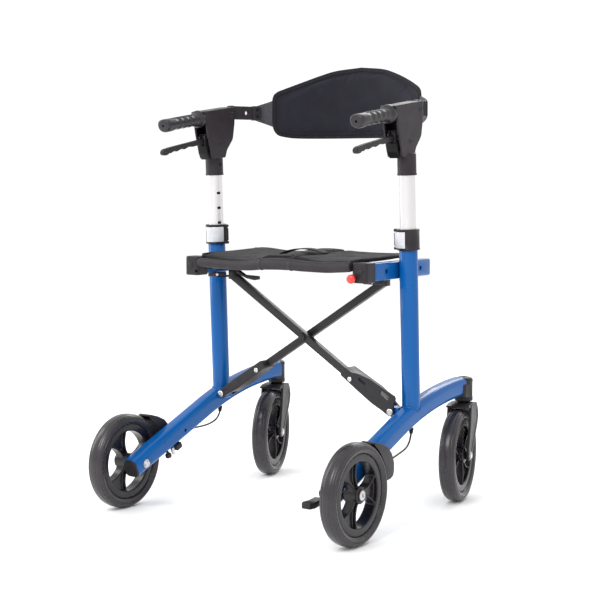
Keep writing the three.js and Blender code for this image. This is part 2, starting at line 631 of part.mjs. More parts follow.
// The backrest is a tall arc of padding, cut to its outline as seen from behind, with a webbing tab
// at each end that narrows towards the arm.
function backrestPad() {
  const onArc = (angle, radius = PAD.radius) => [
    radius * Math.sin(THREE.MathUtils.degToRad(angle)),
    PAD.centreY + radius * Math.cos(THREE.MathUtils.degToRad(angle)),
  ];
  const band = (from, to, thickness) => {
    const steps = Array.from({ length: 17 }, (_, i) => from + (to - from) * i / 16);
    const outer = steps.map((angle) => onArc(angle, PAD.radius + thickness / 2));
    const inner = steps.map((angle) => onArc(angle, PAD.radius - thickness / 2));
    return plateZ(outline([...outer, ...inner.reverse()]), PAD.bottom - 10, 960);
  };
  const seenFromBehind = (points) => plateY(
    outline(points.map(([angle, z]) => [onArc(angle)[0], z])), -100, 400);
  const rightHalf = PAD_HALF_OUTLINE.map(([angle, z]) => [PAD_OFFSET + angle, z]);
  const leftHalf = PAD_HALF_OUTLINE.map(([angle, z]) => [PAD_OFFSET - angle, z]).reverse();
  const edge = [
    [PAD_OFFSET, PAD_APEX], ...rightHalf, [PAD_OFFSET + PAD_FLAT, PAD.bottom],
    [PAD_OFFSET - PAD_FLAT, PAD.bottom], ...leftHalf,
  ];
  const span = PAD_HALF_OUTLINE[6][0];
  const pad = common(
    band(PAD_OFFSET - span - 1, PAD_OFFSET + span + 1, PAD.thickness), seenFromBehind(edge));
  const tabs = [-1, 1].map((sign) => {
    const start = PAD_OFFSET + sign * (span - TAB.overlap);
    const corners = [[start, TAB.padHeight], [sign * TAB.end, TAB.armHeight]];
    const upper = corners.map(([angle, height]) => [angle, BRACKET.z + height / 2]);
    const lower = corners.map(([angle, height]) => [angle, BRACKET.z - height / 2]);
    return common(
      band(start, sign * TAB.end, TAB_THICKNESS), seenFromBehind([...upper, ...lower.reverse()]));
  });
  return join(pad, ...tabs);
}

// ---------------------------------------------------------------- assembly
const walker = new THREE.Group();

function piece(name, geometry, finish, parent = walker) {
  const closed = toGeometry(toSolid(geometry));
  const mesh = new THREE.Mesh(closed, new THREE.MeshStandardMaterial(FINISHES[finish]));
  mesh.name = name;
  parent.add(mesh);
  return mesh;
}

function pair(name, geometry, finish) {
  piece(`${name}_right`, geometry, finish);
  piece(`${name}_left`, mirrored(geometry), finish);
}

function barPair(name, makeRising, finish) {
  piece(`${name}_b`, makeRising(BAR_PLANES.front), finish);
  piece(`${name}_a`, mirrored(makeRising(BAR_PLANES.rear)), finish);
}

pair('lower_tube', lowerTube(), 'paint');
pair('upright_post', upright(), 'paint');
pair('seat_rail', seatRail(), 'paint');
pair('rail_cap', railCap(), 'plastic');
pair('clamp_collar', clampCollar(), 'plastic');
pair('clamp_lever', clampLever(), 'lever');
pair('height_tube', heightTube(), 'anodised');
pair('handle_housing', handleHousing(), 'plastic');
pair('hand_grip', handGrip(), 'plastic');
pair('brake_lever', brakeLever(), 'plastic');
pair('backrest_bracket', backrestBracket(), 'plastic');
pair('caster_head', casterHead(), 'plastic');
pair('rear_axle', rearAxle(), 'steel');
pair('rear_hub_cap', hubCap(), 'cap');
pair('brake_cover', brakeCover(), 'plastic');
pair('brake_shoe', brakeShoe(), 'plastic');
pair('brake_cable', brakeCable(), 'cable');
pair('seat_tube', rodY(
  SEAT_TUBE.radius, SEAT_TUBE.rear, SEAT_TUBE.front, SEAT_TUBE.x, SEAT_TUBE.z, 20), 'black_paint');
const hingeReach = FOOT_DEPTH / 2 + PIN_HEAD.height + GAP;
pair('hinge_pin', headedPin(
  PIN_HEAD, HINGE_Y - hingeReach, HINGE_Y + hingeReach, HINGE_X, HINGE_Z), 'steel');
barPair('cross_bar', crossBar, 'black_paint');
const boltReach = BAR_DEPTH / 2 + BOLT_HEAD.height + GAP;
piece('cross_bolt', headedPin(
  BOLT_HEAD, BAR_PLANES.rear - boltReach, BAR_PLANES.front + boltReach, 0, CROSS_Z), 'steel');

const knob = turned([
  [0, 0], [KNOB.radius - 3, 0], [KNOB.radius, 3], [KNOB.radius, KNOB.length - 4], [6, KNOB.length],
  [KNOB.stem, KNOB.length], [KNOB.stem, KNOB.length + KNOB.shank], [0, KNOB.length + KNOB.shank],
], 20).rotateX(-Math.PI / 2).translate(KNOB.x, CAP.rear - KNOB.length - 2.5, KNOB.z);
piece('fold_lock_knob', knob, 'red');
piece('tip_pedal', tipPedal(), 'plastic');
piece('seat_sling', seatSling(), 'fabric');
piece('seat_strap', seatStrap(), 'fabric');
piece('seat_edge_roll', rodX(ROLL.radius, -ROLL.halfLength, ROLL.halfLength, ROLL.y, ROLL.z, 16), 'vinyl');
piece('backrest_pad', backrestPad(), 'fabric');

for (const [side, sign] of [['right', 1], ['left', -1]]) {
  const rear = new THREE.Group();
  rear.position.set(sign * REAR_WHEEL_X, REAR_AXLE_Y, WHEEL_RADIUS);
  walker.add(rear);
  piece(`rear_tyre_${side}`, tyre(), 'tyre', rear);
  piece(`rear_rim_${side}`, rim(AXLE_RADIUS + RUN, Math.PI / 2), 'rim', rear);

  const caster = new THREE.Group();
  caster.position.set(sign * CASTER_X, CASTER_Y, 0);
  caster.rotation.z = THREE.MathUtils.degToRad(REST_SWIVEL[side]);
  walker.add(caster);
  piece(`caster_fork_${side}`, casterFork(), 'plastic', caster);
  piece(`front_axle_${side}`, frontAxle(), 'steel', caster);
  const front = new THREE.Group();
  front.position.set(0, -CASTER_TRAIL, WHEEL_RADIUS);
  caster.add(front);
  piece(`front_tyre_${side}`, tyre(), 'tyre', front);
  piece(`front_rim_${side}`, rim(FRONT_AXLE_RADIUS + RUN, Math.PI / 6), 'rim', front);
}

export default walker;
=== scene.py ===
import math

import bmesh
import bpy
import numpy as np
from mathutils import Matrix, Vector


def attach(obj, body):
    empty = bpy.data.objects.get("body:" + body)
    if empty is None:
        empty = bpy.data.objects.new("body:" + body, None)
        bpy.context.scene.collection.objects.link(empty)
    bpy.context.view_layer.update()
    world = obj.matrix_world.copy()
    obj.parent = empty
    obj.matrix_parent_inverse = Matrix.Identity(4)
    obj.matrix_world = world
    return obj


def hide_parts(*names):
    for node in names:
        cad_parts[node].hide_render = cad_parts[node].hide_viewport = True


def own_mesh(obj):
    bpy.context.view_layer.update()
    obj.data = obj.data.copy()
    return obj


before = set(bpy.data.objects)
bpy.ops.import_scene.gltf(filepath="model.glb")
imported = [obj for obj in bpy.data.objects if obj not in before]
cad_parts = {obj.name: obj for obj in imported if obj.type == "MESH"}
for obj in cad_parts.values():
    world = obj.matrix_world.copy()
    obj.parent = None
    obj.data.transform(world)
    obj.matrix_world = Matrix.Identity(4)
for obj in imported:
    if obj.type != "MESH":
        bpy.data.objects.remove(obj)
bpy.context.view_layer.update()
scene = bpy.context.scene
MM = 0.001


# ------------------------------------------------------------------ camera, floor and light
def make_camera():
    data = bpy.data.cameras.new("camera")
    data.sensor_width = 36
    data.lens = 87.34
    data.shift_y = -0.0377
    camera = bpy.data.objects.new("camera", data)
    camera.location = (1.76788, -2.53895, 0.70991)
    look = Vector((-0.016865, 0.0305, 0.487096)) - camera.location
    camera.rotation_euler = look.to_track_quat("-Z", "Y").to_euler()
    scene.collection.objects.link(camera)
    scene.camera = camera


def area_light(name, location, target, size, energy):
    data = bpy.data.lights.new(name, "AREA")
    data.shape = "RECTANGLE"
    data.size, data.size_y = size
    data.energy = energy
    light = bpy.data.objects.new(name, data)
    light.location = location
    light.rotation_euler = (Vector(target) - Vector(location)).to_track_quat("-Z", "Y").to_euler()
    scene.collection.objects.link(light)


def make_stage():
    mesh = bpy.data.meshes.new("floor")
    mesh.from_pydata([(-30, -30, 0), (30, -30, 0), (30, 30, 0), (-30, 30, 0)], [], [(0, 1, 2, 3)])
    floor = bpy.data.objects.new("floor", mesh)
    scene.collection.objects.link(floor)
    floor.data.materials.append(plain("floor_paper", (0.97, 0.97, 0.97), 0.9))
    world = bpy.data.worlds.new("studio")
    world.use_nodes = True
    world.node_tree.nodes["Background"].inputs[0].default_value = (1, 1, 1, 1)
    world.node_tree.nodes["Background"].inputs[1].default_value = 1.06
    scene.world = world
    scene.view_settings.view_transform = "Standard"
    area_light("key", (0.2, -2.6, 2.6), (0, 0, 0.5), (1.4, 1.4), 55)
    area_light("left", (-2.6, -0.8, 1.6), (0, 0, 0.4), (0.8, 2.2), 28)
    area_light("back", (-0.6, 3.0, 2.4), (0, 0, 0.5), (2.0, 1.2), 40)


# ------------------------------------------------------------------ materials
def plain(name, color, roughness):
    mat = bpy.data.materials.new(name)
    mat.use_nodes = True
    shader = mat.node_tree.nodes["Principled BSDF"]
    shader.inputs["Base Color"].default_value = (*color, 1)
    shader.inputs["Roughness"].default_value = roughness
    return mat


class Surface:
    """A Principled material whose colour, roughness and bump are built up from procedural layers."""

    def __init__(self, name, color, roughness, metallic=0.0, **sockets):
        self.mat = bpy.data.materials.new(name)
        self.mat.use_nodes = True
        self.tree = self.mat.node_tree
        self.shader = self.tree.nodes["Principled BSDF"]
        self.color, self.height = color, None
        self.shader.inputs["Base Color"].default_value = (*color, 1)
        self.shader.inputs["Roughness"].default_value = roughness
        self.shader.inputs["Metallic"].default_value = metallic
        for socket, value in sockets.items():
            self.shader.inputs[socket.replace("_", " ")].default_value = value
        self.place = self.node("ShaderNodeTexCoord").outputs["Object"]

    def node(self, kind, **settings):
        node = self.tree.nodes.new(kind)
        for key, value in settings.items():
            setattr(node, key, value)
        return node

    def wire(self, source, target):
        self.tree.links.new(source, target)

    def stretched(self, scale):
        mapping = self.node("ShaderNodeMapping")
        mapping.inputs["Scale"].default_value = scale
        self.wire(self.place, mapping.inputs["Vector"])
        return mapping.outputs["Vector"]

    def noise(self, scale, detail, stretch=(1, 1, 1)):
        node = self.node("ShaderNodeTexNoise")
        node.inputs["Scale"].default_value = scale
        node.inputs["Detail"].default_value = detail
        node.inputs["Roughness"].default_value = 0.55
        self.wire(self.stretched(stretch), node.inputs["Vector"])
        return node.outputs["Fac"]

    def bands(self, scale, direction):
        node = self.node("ShaderNodeTexWave", wave_type="BANDS", bands_direction=direction)
        node.inputs["Scale"].default_value = scale
        self.wire(self.place, node.inputs["Vector"])
        return node.outputs["Fac"]

    def cells(self, scale):
        node = self.node("ShaderNodeTexVoronoi")
        node.inputs["Scale"].default_value = scale
        self.wire(self.place, node.inputs["Vector"])
        return node.outputs["Distance"]

    def ranged(self, value, low, high, start=0.3, end=0.7):
        node = self.node("ShaderNodeMapRange")
        for socket, number in (("From Min", start), ("From Max", end), ("To Min", low), ("To Max", high)):
            node.inputs[socket].default_value = number
        self.wire(value, node.inputs["Value"])
        return node.outputs["Result"]

    def combined(self, a, b, operation="MULTIPLY"):
        node = self.node("ShaderNodeMath", operation=operation)
        self.wire(a, node.inputs[0])
        self.wire(b, node.inputs[1])
        return node.outputs[0]

    def tint(self, factor, dark, light, start=0.3, end=0.7):
        """Runs the base colour from dark to light times itself as factor goes from start to end."""
        ramp = self.node("ShaderNodeValToRGB")
        ramp.color_ramp.elements[0].position = start
        ramp.color_ramp.elements[1].position = end
        ramp.color_ramp.elements[0].color = (*(min(c * dark, 1) for c in self.color), 1)
        ramp.color_ramp.elements[1].color = (*(min(c * light, 1) for c in self.color), 1)
        self.wire(factor, ramp.inputs["Fac"])
        self.wire(ramp.outputs["Color"], self.shader.inputs["Base Color"])
        return self

    def worn(self, low, high, factor):
        self.wire(self.ranged(factor, low, high), self.shader.inputs["Roughness"])
        return self

    def bump(self, height, depth_mm, strength=1.0):
        node = self.node("ShaderNodeBump")
        node.inputs["Strength"].default_value = strength
        node.inputs["Distance"].default_value = depth_mm * MM
        self.wire(height, node.inputs["Height"])
        if self.height:
            self.wire(self.height, node.inputs["Normal"])
        self.height = node.outputs["Normal"]
        self.wire(self.height, self.shader.inputs["Normal"])
        return self


def moulded(name, color, roughness=0.5, grain=0.05, scale=1400, sheen=0.35):
    """Injection-moulded plastic: a fine spark-eroded grain, faint flow marks and handling polish."""
    s = Surface(name, color, roughness, Specular_IOR_Level=sheen)
    s.tint(s.noise(45, 4), 0.88, 1.14)
    s.worn(roughness - 0.07, roughness + 0.09, s.noise(28, 5))
    s.bump(s.noise(scale, 2), grain, 0.7).bump(s.noise(60, 2), 0.12, 0.35)
    return s.mat


def make_materials():
    mats = {
        "plastic": moulded("dark_plastic", (0.018, 0.015, 0.018), 0.38, sheen=0.3),
        "housing": moulded("housing_plastic", (0.021, 0.0165, 0.021), 0.44, 0.07, 1100, 0.3),
        # near black: the own colour of the small black parts, and also painted shade where it lines holes,
        # bores and recesses
        "inner": moulded("black_plastic_and_painted_shade", (0.004, 0.004, 0.0045), 0.4, 0.03, sheen=0.2),
        "rim": moulded("rim_plastic", (0.010, 0.008, 0.010), 0.26, 0.05, 1200, 0.42),
    }

    def finish(key, name, color, roughness, tint, worn, *bumps, metallic=0.0, **sockets):
        """One surface from noise: tint and worn are (scale, detail, low, high) and each bump is
        (scale, detail, depth, strength)."""
        s = Surface(name, color, roughness, metallic, **sockets)
        s.tint(s.noise(*tint[:2]), *tint[2:])
        if worn:
            s.worn(*worn[2:], s.noise(*worn[:2]))
        for scale, detail, depth, strength in bumps:
            s.bump(s.noise(scale, detail), depth, strength)
        mats[key] = s.mat
        return s

    finish("paint", "blue_gloss", (0.0015, 0.088, 0.31), 0.3, (900, 2, 0.93, 1.09), (20, 4, 0.27, 0.36),
           (160, 2, 0.05, 0.3), Specular_IOR_Level=0.12, Coat_Weight=0.35, Coat_Roughness=0.06)
    finish("tyre", "tyre", (0.024, 0.020, 0.0235), 0.28, (38, 5, 0.9, 1.1), (70, 4, 0.23, 0.34),
           (1500, 2, 0.03, 0.5), (60, 3, 0.06, 0.25), Specular_IOR_Level=0.5)
    finish("steel", "zinc", (0.66, 0.645, 0.65), 0.3, (300, 3, 0.85, 1.1), (160, 4, 0.22, 0.4),
           (800, 2, 0.02, 0.5), metallic=1.0)
    finish("lever_plate", "lever_plate", (0.62, 0.63, 0.66), 0.3, (50, 4, 0.94, 1.05), (60, 4, 0.24, 0.36),
           (900, 2, 0.02, 0.4), metallic=0.25, Coat_Weight=0.3)
    finish("black_paint", "black_powder_coat", (0.016, 0.014, 0.016), 0.42, (80, 4, 0.86, 1.12),
           (40, 4, 0.36, 0.5), (700, 3, 0.06, 0.6), metallic=0.1, Specular_IOR_Level=0.4)
    finish("disc", "hub_disc", (0.62, 0.61, 0.62), 0.35, (90, 3, 0.9, 1.1), None, (900, 2, 0.02, 0.4),
           metallic=0.6)
    finish("red", "red_gloss", (0.72, 0.035, 0.03), 0.3, (60, 3, 0.9, 1.08), (60, 3, 0.24, 0.38),
           (500, 2, 0.03, 0.3), Coat_Weight=0.4)
    finish("cable", "cable_jacket", (0.018, 0.017, 0.018), 0.45, (100, 3, 0.85, 1.2), None, (900, 2, 0.04, 0.5))
    finish("sleeve", "foam_sleeve", (0.024, 0.021, 0.024), 0.5, (30, 5, 0.85, 1.15), (45, 4, 0.48, 0.64),
           (420, 3, 0.12, 0.5), (35, 3, 0.5, 0.3), Specular_IOR_Level=0.32)

    s = Surface("anodised", (0.74, 0.725, 0.73), 0.34, 0.9)
    s.tint(s.noise(40, 3, stretch=(1, 1, 0.05)), 0.95, 1.04)
    s.worn(0.30, 0.42, s.noise(500, 3, stretch=(1, 1, 0.03)))
    s.bump(s.noise(900, 2, stretch=(1, 1, 0.02)), 0.02, 0.5)
    mats["anodised"] = s.mat

    s = finish("grip", "grip_rubber", (0.018, 0.0155, 0.0185), 0.4, (60, 4, 0.85, 1.15), (35, 4, 0.34, 0.46),
               Specular_IOR_Level=0.45)
    s.bump(s.cells(620), 0.12, 0.5)

    # smooth knitted neoprene of the backrest
    s = finish("knit", "backrest_knit", (0.0125, 0.012, 0.019), 0.85, (14, 5, 0.82, 1.2), (25, 4, 0.78, 0.92),
               Sheen_Weight=0.1, Sheen_Roughness=0.4, Specular_IOR_Level=0.25)
    s.bump(s.combined(s.bands(330, "Z"), s.bands(260, "DIAGONAL")), 0.16, 0.5).bump(s.noise(55, 4), 0.5, 0.35)

    # coarse woven polyester of the seat panels
    s = finish("weave", "seat_weave", (0.0095, 0.009, 0.0115), 0.8, (22, 5, 0.78, 1.25), (30, 4, 0.7, 0.9),
               Sheen_Weight=0.04, Specular_IOR_Level=0.22)
    s.bump(s.combined(s.bands(210, "X"), s.bands(210, "Y"), "MAXIMUM"), 0.28, 0.7)
    s.bump(s.noise(40, 4), 0.6, 0.4)

    s = finish("webbing", "webbing", (0.060, 0.060, 0.068), 0.75, (120, 3, 0.85, 1.15), None,
               Sheen_Weight=0.1, Specular_IOR_Level=0.3)
    s.bump(s.combined(s.bands(190, "Z"), s.bands(420, "Y")), 0.25, 0.6)
    s = finish("binding", "binding_tape", (0.0065, 0.006, 0.0085), 0.7, (80, 3, 0.85, 1.2), None,
               Specular_IOR_Level=0.3)
    s.bump(s.bands(600, "DIAGONAL"), 0.12, 0.6)
    s = finish("thread", "thread", (0.03, 0.03, 0.037), 0.6, (400, 2, 0.85, 1.15), None)
    s.bump(s.bands(900, "DIAGONAL"), 0.08, 0.6)
    return mats


# ------------------------------------------------------------------ geometry in millimetres
def rot(axis, degrees):
    return np.array(Matrix.Rotation(math.radians(degrees), 3, axis))


def moved(geo, matrix=None, offset=(0, 0, 0)):
    verts = np.asarray(geo[0], float)
    if matrix is not None:
        verts = verts @ np.asarray(matrix).T
    return verts + np.asarray(offset, float), geo[1]


def joined(*geos):
    verts, faces, base = [], [], 0
    for v, f in geos:
        verts.append(np.asarray(v, float))
        faces += [[i + base for i in face] for face in f]
        base += len(v)
    return np.vstack(verts), faces


def rounded(points, radius, steps=5):
    """A closed outline with each corner rounded; radius is one number or one for each corner."""
    pts = [np.array(p, float) for p in points]
    radii = [radius] * len(pts) if np.isscalar(radius) else list(radius)
    out = []
    for i, p in enumerate(pts):
        a, b = pts[i - 1] - p, pts[(i + 1) % len(pts)] - p
        la, lb = np.linalg.norm(a), np.linalg.norm(b)
        a, b = a / la, b / lb
        half = math.acos(max(-1, min(1, float(a @ b)))) / 2
        if radii[i] <= 0 or half > 1.53:
            out.append(p)
            continue
        reach = min(radii[i] / math.tan(half), la * 0.48, lb * 0.48)
        for k in range(steps + 1):
            t = k / steps
            out.append(p + a * reach * (1 - t) ** 2 + b * reach * t ** 2)
    return out


def ring_rect(width, height, corner, steps=6):
    """A rounded rectangle centred on 0."""
    out = []
    for cx, cy, start in ((1, 1, 0), (-1, 1, 90), (-1, -1, 180), (1, -1, 270)):
        for k in range(steps + 1):
            a = math.radians(start + 90 * k / steps)
            out.append((cx * (width / 2 - corner) + corner * math.cos(a),
                        cy * (height / 2 - corner) + corner * math.sin(a)))
    return out


def stacked(rings, caps=True, closed=False):
    """Skins a list of rings that have the same number of points."""
    n = len(rings[0])
    verts = np.vstack([np.asarray(r, float) for r in rings])
    faces = []
    for k in range(len(rings) - (0 if closed else 1)):
        a, b = k * n, ((k + 1) % len(rings)) * n
        faces += [[a + i, a + (i + 1) % n, b + (i + 1) % n, b + i] for i in range(n)]
    if caps and not closed:
        faces.append(list(range(n))[::-1])
        faces.append([len(verts) - n + i for i in range(n)])
    return verts, faces


def prism(outline, low, high, axis="X"):
    """Axis X: the outline is (y, z). Axis Y: (x, z). Axis Z: (x, y)."""
    def lift(p, t):
        return {"X": (t, p[0], p[1]), "Y": (p[0], t, p[1]), "Z": (p[0], p[1], t)}[axis]
    return stacked([[lift(p, low) for p in outline], [lift(p, high) for p in outline]])


def lathe(profile, segments=64, closed=False):
    """Turns (radius, height) points about Z. Points on the axis become poles."""
    angles = [2 * math.pi * k / segments for k in range(segments)]
    rings = [[(r * math.cos(a), r * math.sin(a), h) for a in angles] for r, h in profile]
    return stacked(rings, caps=not closed, closed=closed)


def lathe_x(profile, segments=64, closed=False):
    return moved(lathe(profile, segments, closed), rot("Y", 90))


def lathe_y(profile, segments=48, closed=False):
    return moved(lathe(profile, segments, closed), rot("X", -90))


def sweep(path, section, side=None, scale=None, caps=True):
    """Runs a section (a along the side vector, b along the other) down a path."""
    path = np.asarray(path, float)
    tangents = np.gradient(path, axis=0)
    tangents /= np.linalg.norm(tangents, axis=1)[:, None]
    if side is None:
        side = np.cross(tangents[0], (0.3, 0.2, 1.0))
    side = np.asarray(side, float)
    rings = []
    for k, (p, t) in enumerate(zip(path, tangents)):
        side = side - t * (side @ t)
        side /= np.linalg.norm(side)
        other = np.cross(t, side)
        s = 1 if scale is None else scale[k]
        rings.append([p + side * a * s + other * b * s for a, b in section])
    return stacked(rings, caps)


def circle(radius, sides=16):
    return [(radius * math.cos(2 * math.pi * k / sides), radius * math.sin(2 * math.pi * k / sides))
            for k in range(sides)]


def full_turn(count):
    """Evenly spaced angles, the first one 0."""
    return np.linspace(0, 2 * math.pi, count + 1)[:-1]


def hexagon(radius, centre=(0, 0)):
    return [(centre[0] + radius * math.cos(a), centre[1] + radius * math.sin(a))
            for a in np.radians(np.arange(0, 360, 60))]


def spline(points, count):
    """A smooth path of count points through the given ones."""
    p = np.asarray(points, float)
    p = np.vstack([2 * p[0] - p[1], p, 2 * p[-1] - p[-2]])
    out = []
    spans = len(p) - 3
    for k in range(count):
        u = k / (count - 1) * spans
        i = min(int(u), spans - 1)
        t = u - i
        a, b, c, d = p[i:i + 4]
        out.append(0.5 * (2 * b + (c - a) * t + (2 * a - 5 * b + 4 * c - d) * t * t
                          + (3 * b - a - 3 * c + d) * t ** 3))
    return np.array(out)


def to_mesh(geo, name="part"):
    mesh = bpy.data.meshes.new(name)
    mesh.from_pydata([tuple(v) for v in np.asarray(geo[0]) * MM], [], geo[1])
    bm = bmesh.new()
    bm.from_mesh(mesh)
    bmesh.ops.remove_doubles(bm, verts=bm.verts, dist=1e-6)
    bmesh.ops.recalc_face_normals(bm, faces=bm.faces)
    bm.to_mesh(mesh)
    bm.free()
    return mesh


def as_mesh(geo):
    return geo if isinstance(geo, bpy.types.Mesh) else to_mesh(geo)


def modified(mesh, *steps):
    """The mesh after a list of (modifier type, settings)."""
    ob = bpy.data.objects.new("work", mesh)
    scene.collection.objects.link(ob)
    for kind, settings in steps:
        mod = ob.modifiers.new(kind, kind)
        for key, value in settings.items():
            setattr(mod, key, value)
    evaluated = ob.evaluated_get(bpy.context.evaluated_depsgraph_get())
    out = bpy.data.meshes.new_from_object(evaluated)
    bpy.data.objects.remove(ob)
    return out


def bevelled(geo, width=1.0, segments=3, angle=28):
    settings = dict(width=width * MM, segments=segments, limit_method="ANGLE", angle_limit=math.radians(angle),
                    miter_outer="MITER_ARC")
    return modified(as_mesh(geo), ("BEVEL", settings))


def boolean(operation, geo, others):
    mesh = as_mesh(geo)
    for other in others:
        tool = bpy.data.objects.new("tool", as_mesh(other))
        scene.collection.objects.link(tool)
        mesh = modified(mesh, ("BOOLEAN", dict(operation=operation, solver="EXACT", object=tool)))
        bpy.data.objects.remove(tool)
    return mesh


def bored(geo, *cutters):
    """A geometry or mesh with other geometries taken out of it."""
    return boolean("DIFFERENCE", geo, cutters)


def fused(geo, *others):
    """The union of closed geometries, as one mesh."""
    return boolean("UNION", geo, others)


def melted(geo, voxel=1.2, rounds=6, factor=0.5):
    """Soft-cornered moulding: remeshed finely, then relaxed."""
    return modified(as_mesh(geo), ("REMESH", dict(mode="VOXEL", voxel_size=voxel * MM)),
                    ("SMOOTH", dict(factor=factor, iterations=rounds)))


def put(name, mesh, mat, body, replaces=(), smooth=38):
    mesh = as_mesh(mesh)
    mesh.name = name
    mesh.materials.clear()
    mesh.materials.append(MATS[mat])
    mesh.polygons.foreach_set("use_smooth", [True] * len(mesh.polygons))
    mesh.set_sharp_from_angle(angle=math.radians(smooth))
    ob = bpy.data.objects.new(name, mesh)
    scene.collection.objects.link(ob)
    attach(ob, body)
    if replaces:
        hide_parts(*replaces)
    return ob


def flipped(mesh):
    out = mesh.copy()
    out.transform(Matrix.Scale(-1, 4, (1, 0, 0)))
    out.flip_normals()
    return out


def pair(name, geo, mat, body, replaces=(), smooth=38):
    """The same piece on both sides, made for the right-hand one."""
    mesh = as_mesh(geo)
    for side, m in (("right", mesh), ("left", flipped(mesh))):
        put(f"{name}_{side}", m, mat, f"{body}_{side}", [f"{r}_{side}" for r in replaces], smooth)


POST_LEAN = 0.0451  # metres back for each metre up
LEAN = math.degrees(math.atan(POST_LEAN))
POST_X, POST_FOOT_Y = 249, 62.3
HINGE = (221, 218.7)  # (x, z) of the cross bars' lower pins
CROSS_Z = 361  # height of the bolt where the bars cross
RAIL_CENTRE = (217.3, 0, 512)
HANDLE_X = 243
GRIP_SLOPE = 8.4  # degrees
BRACKET_Z = 847
LEVER_PIVOT = (-8, 781)  # (y, z)
CASTER = (253, 272.5)  # (x, y) of the steering axis
FRONT_AXLE = (-44.5, 100)  # (y, z), measured from the steering axis
REAR_AXLE = (-231, 100)  # (y, z)
REAR_WHEEL_X, CAP_X = 290.5, 307.8


def on_post(geo):
    return moved(geo, rot("X", LEAN), (POST_X, POST_FOOT_Y, 0))


def box(low, high):
    return prism([(low[1], low[2]), (high[1], low[2]), (high[1], high[2]), (low[1], high[2])], low[0], high[0])


def rod(axis, radius, low, high, centre, sides=32):
    """A plain round bar along an axis; centre gives the other two coordinates in order."""
    geo = lathe([(radius, low), (radius, high)], sides)
    if axis == "X":
        return moved(geo, rot("Y", 90), (0, *centre))
    if axis == "Y":
        return moved(geo, rot("X", -90), (centre[0], 0, centre[1]))
    return moved(geo, None, (*centre, 0))


def screw_head(radius, height, recess=True):
    """A dished screw or rivet head on +Z with its seat at 0."""
    top = [(radius, 0), (radius, height * 0.45), (radius * 0.86, height * 0.85), (radius * 0.6, height)]
    if recess:
        top += [(radius * 0.42, height), (radius * 0.36, height * 0.3), (radius * 0.02, height * 0.25)]
    else:
        top += [(radius * 0.3, height * 1.04), (radius * 0.02, height * 1.06)]
    return lathe([(radius * 0.02, 0)] + top, 24)


# ------------------------------------------------------------------ side frame
def lower_path(count=64):
    """Centre line of the lower tube: straight from the rear, then a smooth bend to level."""
    end, bend, pull, front = [np.array(p, float) for p in ((-258, 92), (-26, 185), (109, 241.6), (262, 246))]
    pts = [end + (bend - end) * k / 20 for k in range(20)]
    pts += [bend * (1 - t) ** 2 + 2 * pull * t * (1 - t) + front * t * t for t in np.linspace(0, 1, count - 20)]
    return np.array([(POST_X, p[0], p[1]) for p in pts])


def tube_height(y):
    """Height of the lower tube's centre line at y, and its slope."""
    path = lower_path(200)
    z = np.interp(y, path[:, 1], path[:, 2])
    return z, np.interp(y + 1, path[:, 1], path[:, 2]) - z


def make_lower_tubes():
    tube = sweep(lower_path(), ring_rect(38, 41, 13, 8), side=(1, 0, 0))
    lug = fused(rod("Y", 11, 21, 43, HINGE, 40), box((221, 21, 207.7), (236, 43, 227.7)))
    lug = bored(bevelled(lug, 1.2), rod("Y", 4.2, 0, 70, HINGE))
    mesh = bored(tube, rod("Z", 20.2, 150, 300, CASTER, 48), rod("X", 4, 200, 236, (-100, 152)))
    pair("tube_skin", mesh, "paint", "frame", ["lower_tube"], 35)
    pair("hinge_lug", lug, "paint", "frame", (), 35)

    start, slope = np.array((-258, 92.0)), math.degrees(math.atan2(93, 232))
    turn = rot("X", slope)

    def at_end(geo):
        return moved(geo, turn, (POST_X, start[0], start[1]))
    plug = prism(ring_rect(37, 40, 12.5, 8), -2.4, 3, "Y")
    cover = prism(ring_rect(30, 33, 9.5, 8), -3.4, 3, "Y")
    pair("tube_end_plug", at_end(joined(bevelled_geo(plug, 1.1), cover)), "plastic", "frame")
    # near-black disc at the bottom of the bored hole: painted shade inside the hole
    pair("tube_hole_shade", rod("X", 3.9, 235.2, 236, (-100, 152)), "inner", "frame")

    # weld bead where the post stands on the tube
    bead, post_y = [], POST_FOOT_Y - POST_LEAN * 236
    for k in range(72):
        a = 2 * math.pi * k / 72
        x, y = 19.6 * math.cos(a), post_y + 19.6 * math.sin(a)
        z, _ = tube_height(y)
        over = max(abs(x) - 6, 0)
        drop = 13 - math.sqrt(max(13 ** 2 - over ** 2, 0))
        bead.append((POST_X + x, y, z + 20.5 - drop + 0.6 + 0.35 * math.sin(24 * a)))
    pair("weld_bead", closed_sweep(bead, circle(2.3, 10)), "paint", "frame", (), 60)


def bevelled_geo(geo, width=1.0, segments=3, angle=28):
    """Like bevelled, but gives back millimetre geometry."""
    return geo_of(bevelled(geo, width, segments, angle))


def geo_of(mesh):
    verts = np.empty(len(mesh.vertices) * 3)
    mesh.vertices.foreach_get("co", verts)
    return verts.reshape(-1, 3) / MM, [list(p.vertices) for p in mesh.polygons]


def closed_sweep(points, section):
    """Runs a section round a closed path that nowhere runs along Z."""
    pts = np.asarray(points, float)
    tangents = np.roll(pts, -1, 0) - np.roll(pts, 1, 0)
    tangents /= np.linalg.norm(tangents, axis=1)[:, None]
    up = np.array((0, 0, 1.0))
    rings = []
    for p, t in zip(pts, tangents):
        side = np.cross(t, up)
        side /= np.linalg.norm(side)
        other = np.cross(side, t)
        rings.append([p + side * a + other * b for a, b in section])
    return stacked(rings, closed=True)


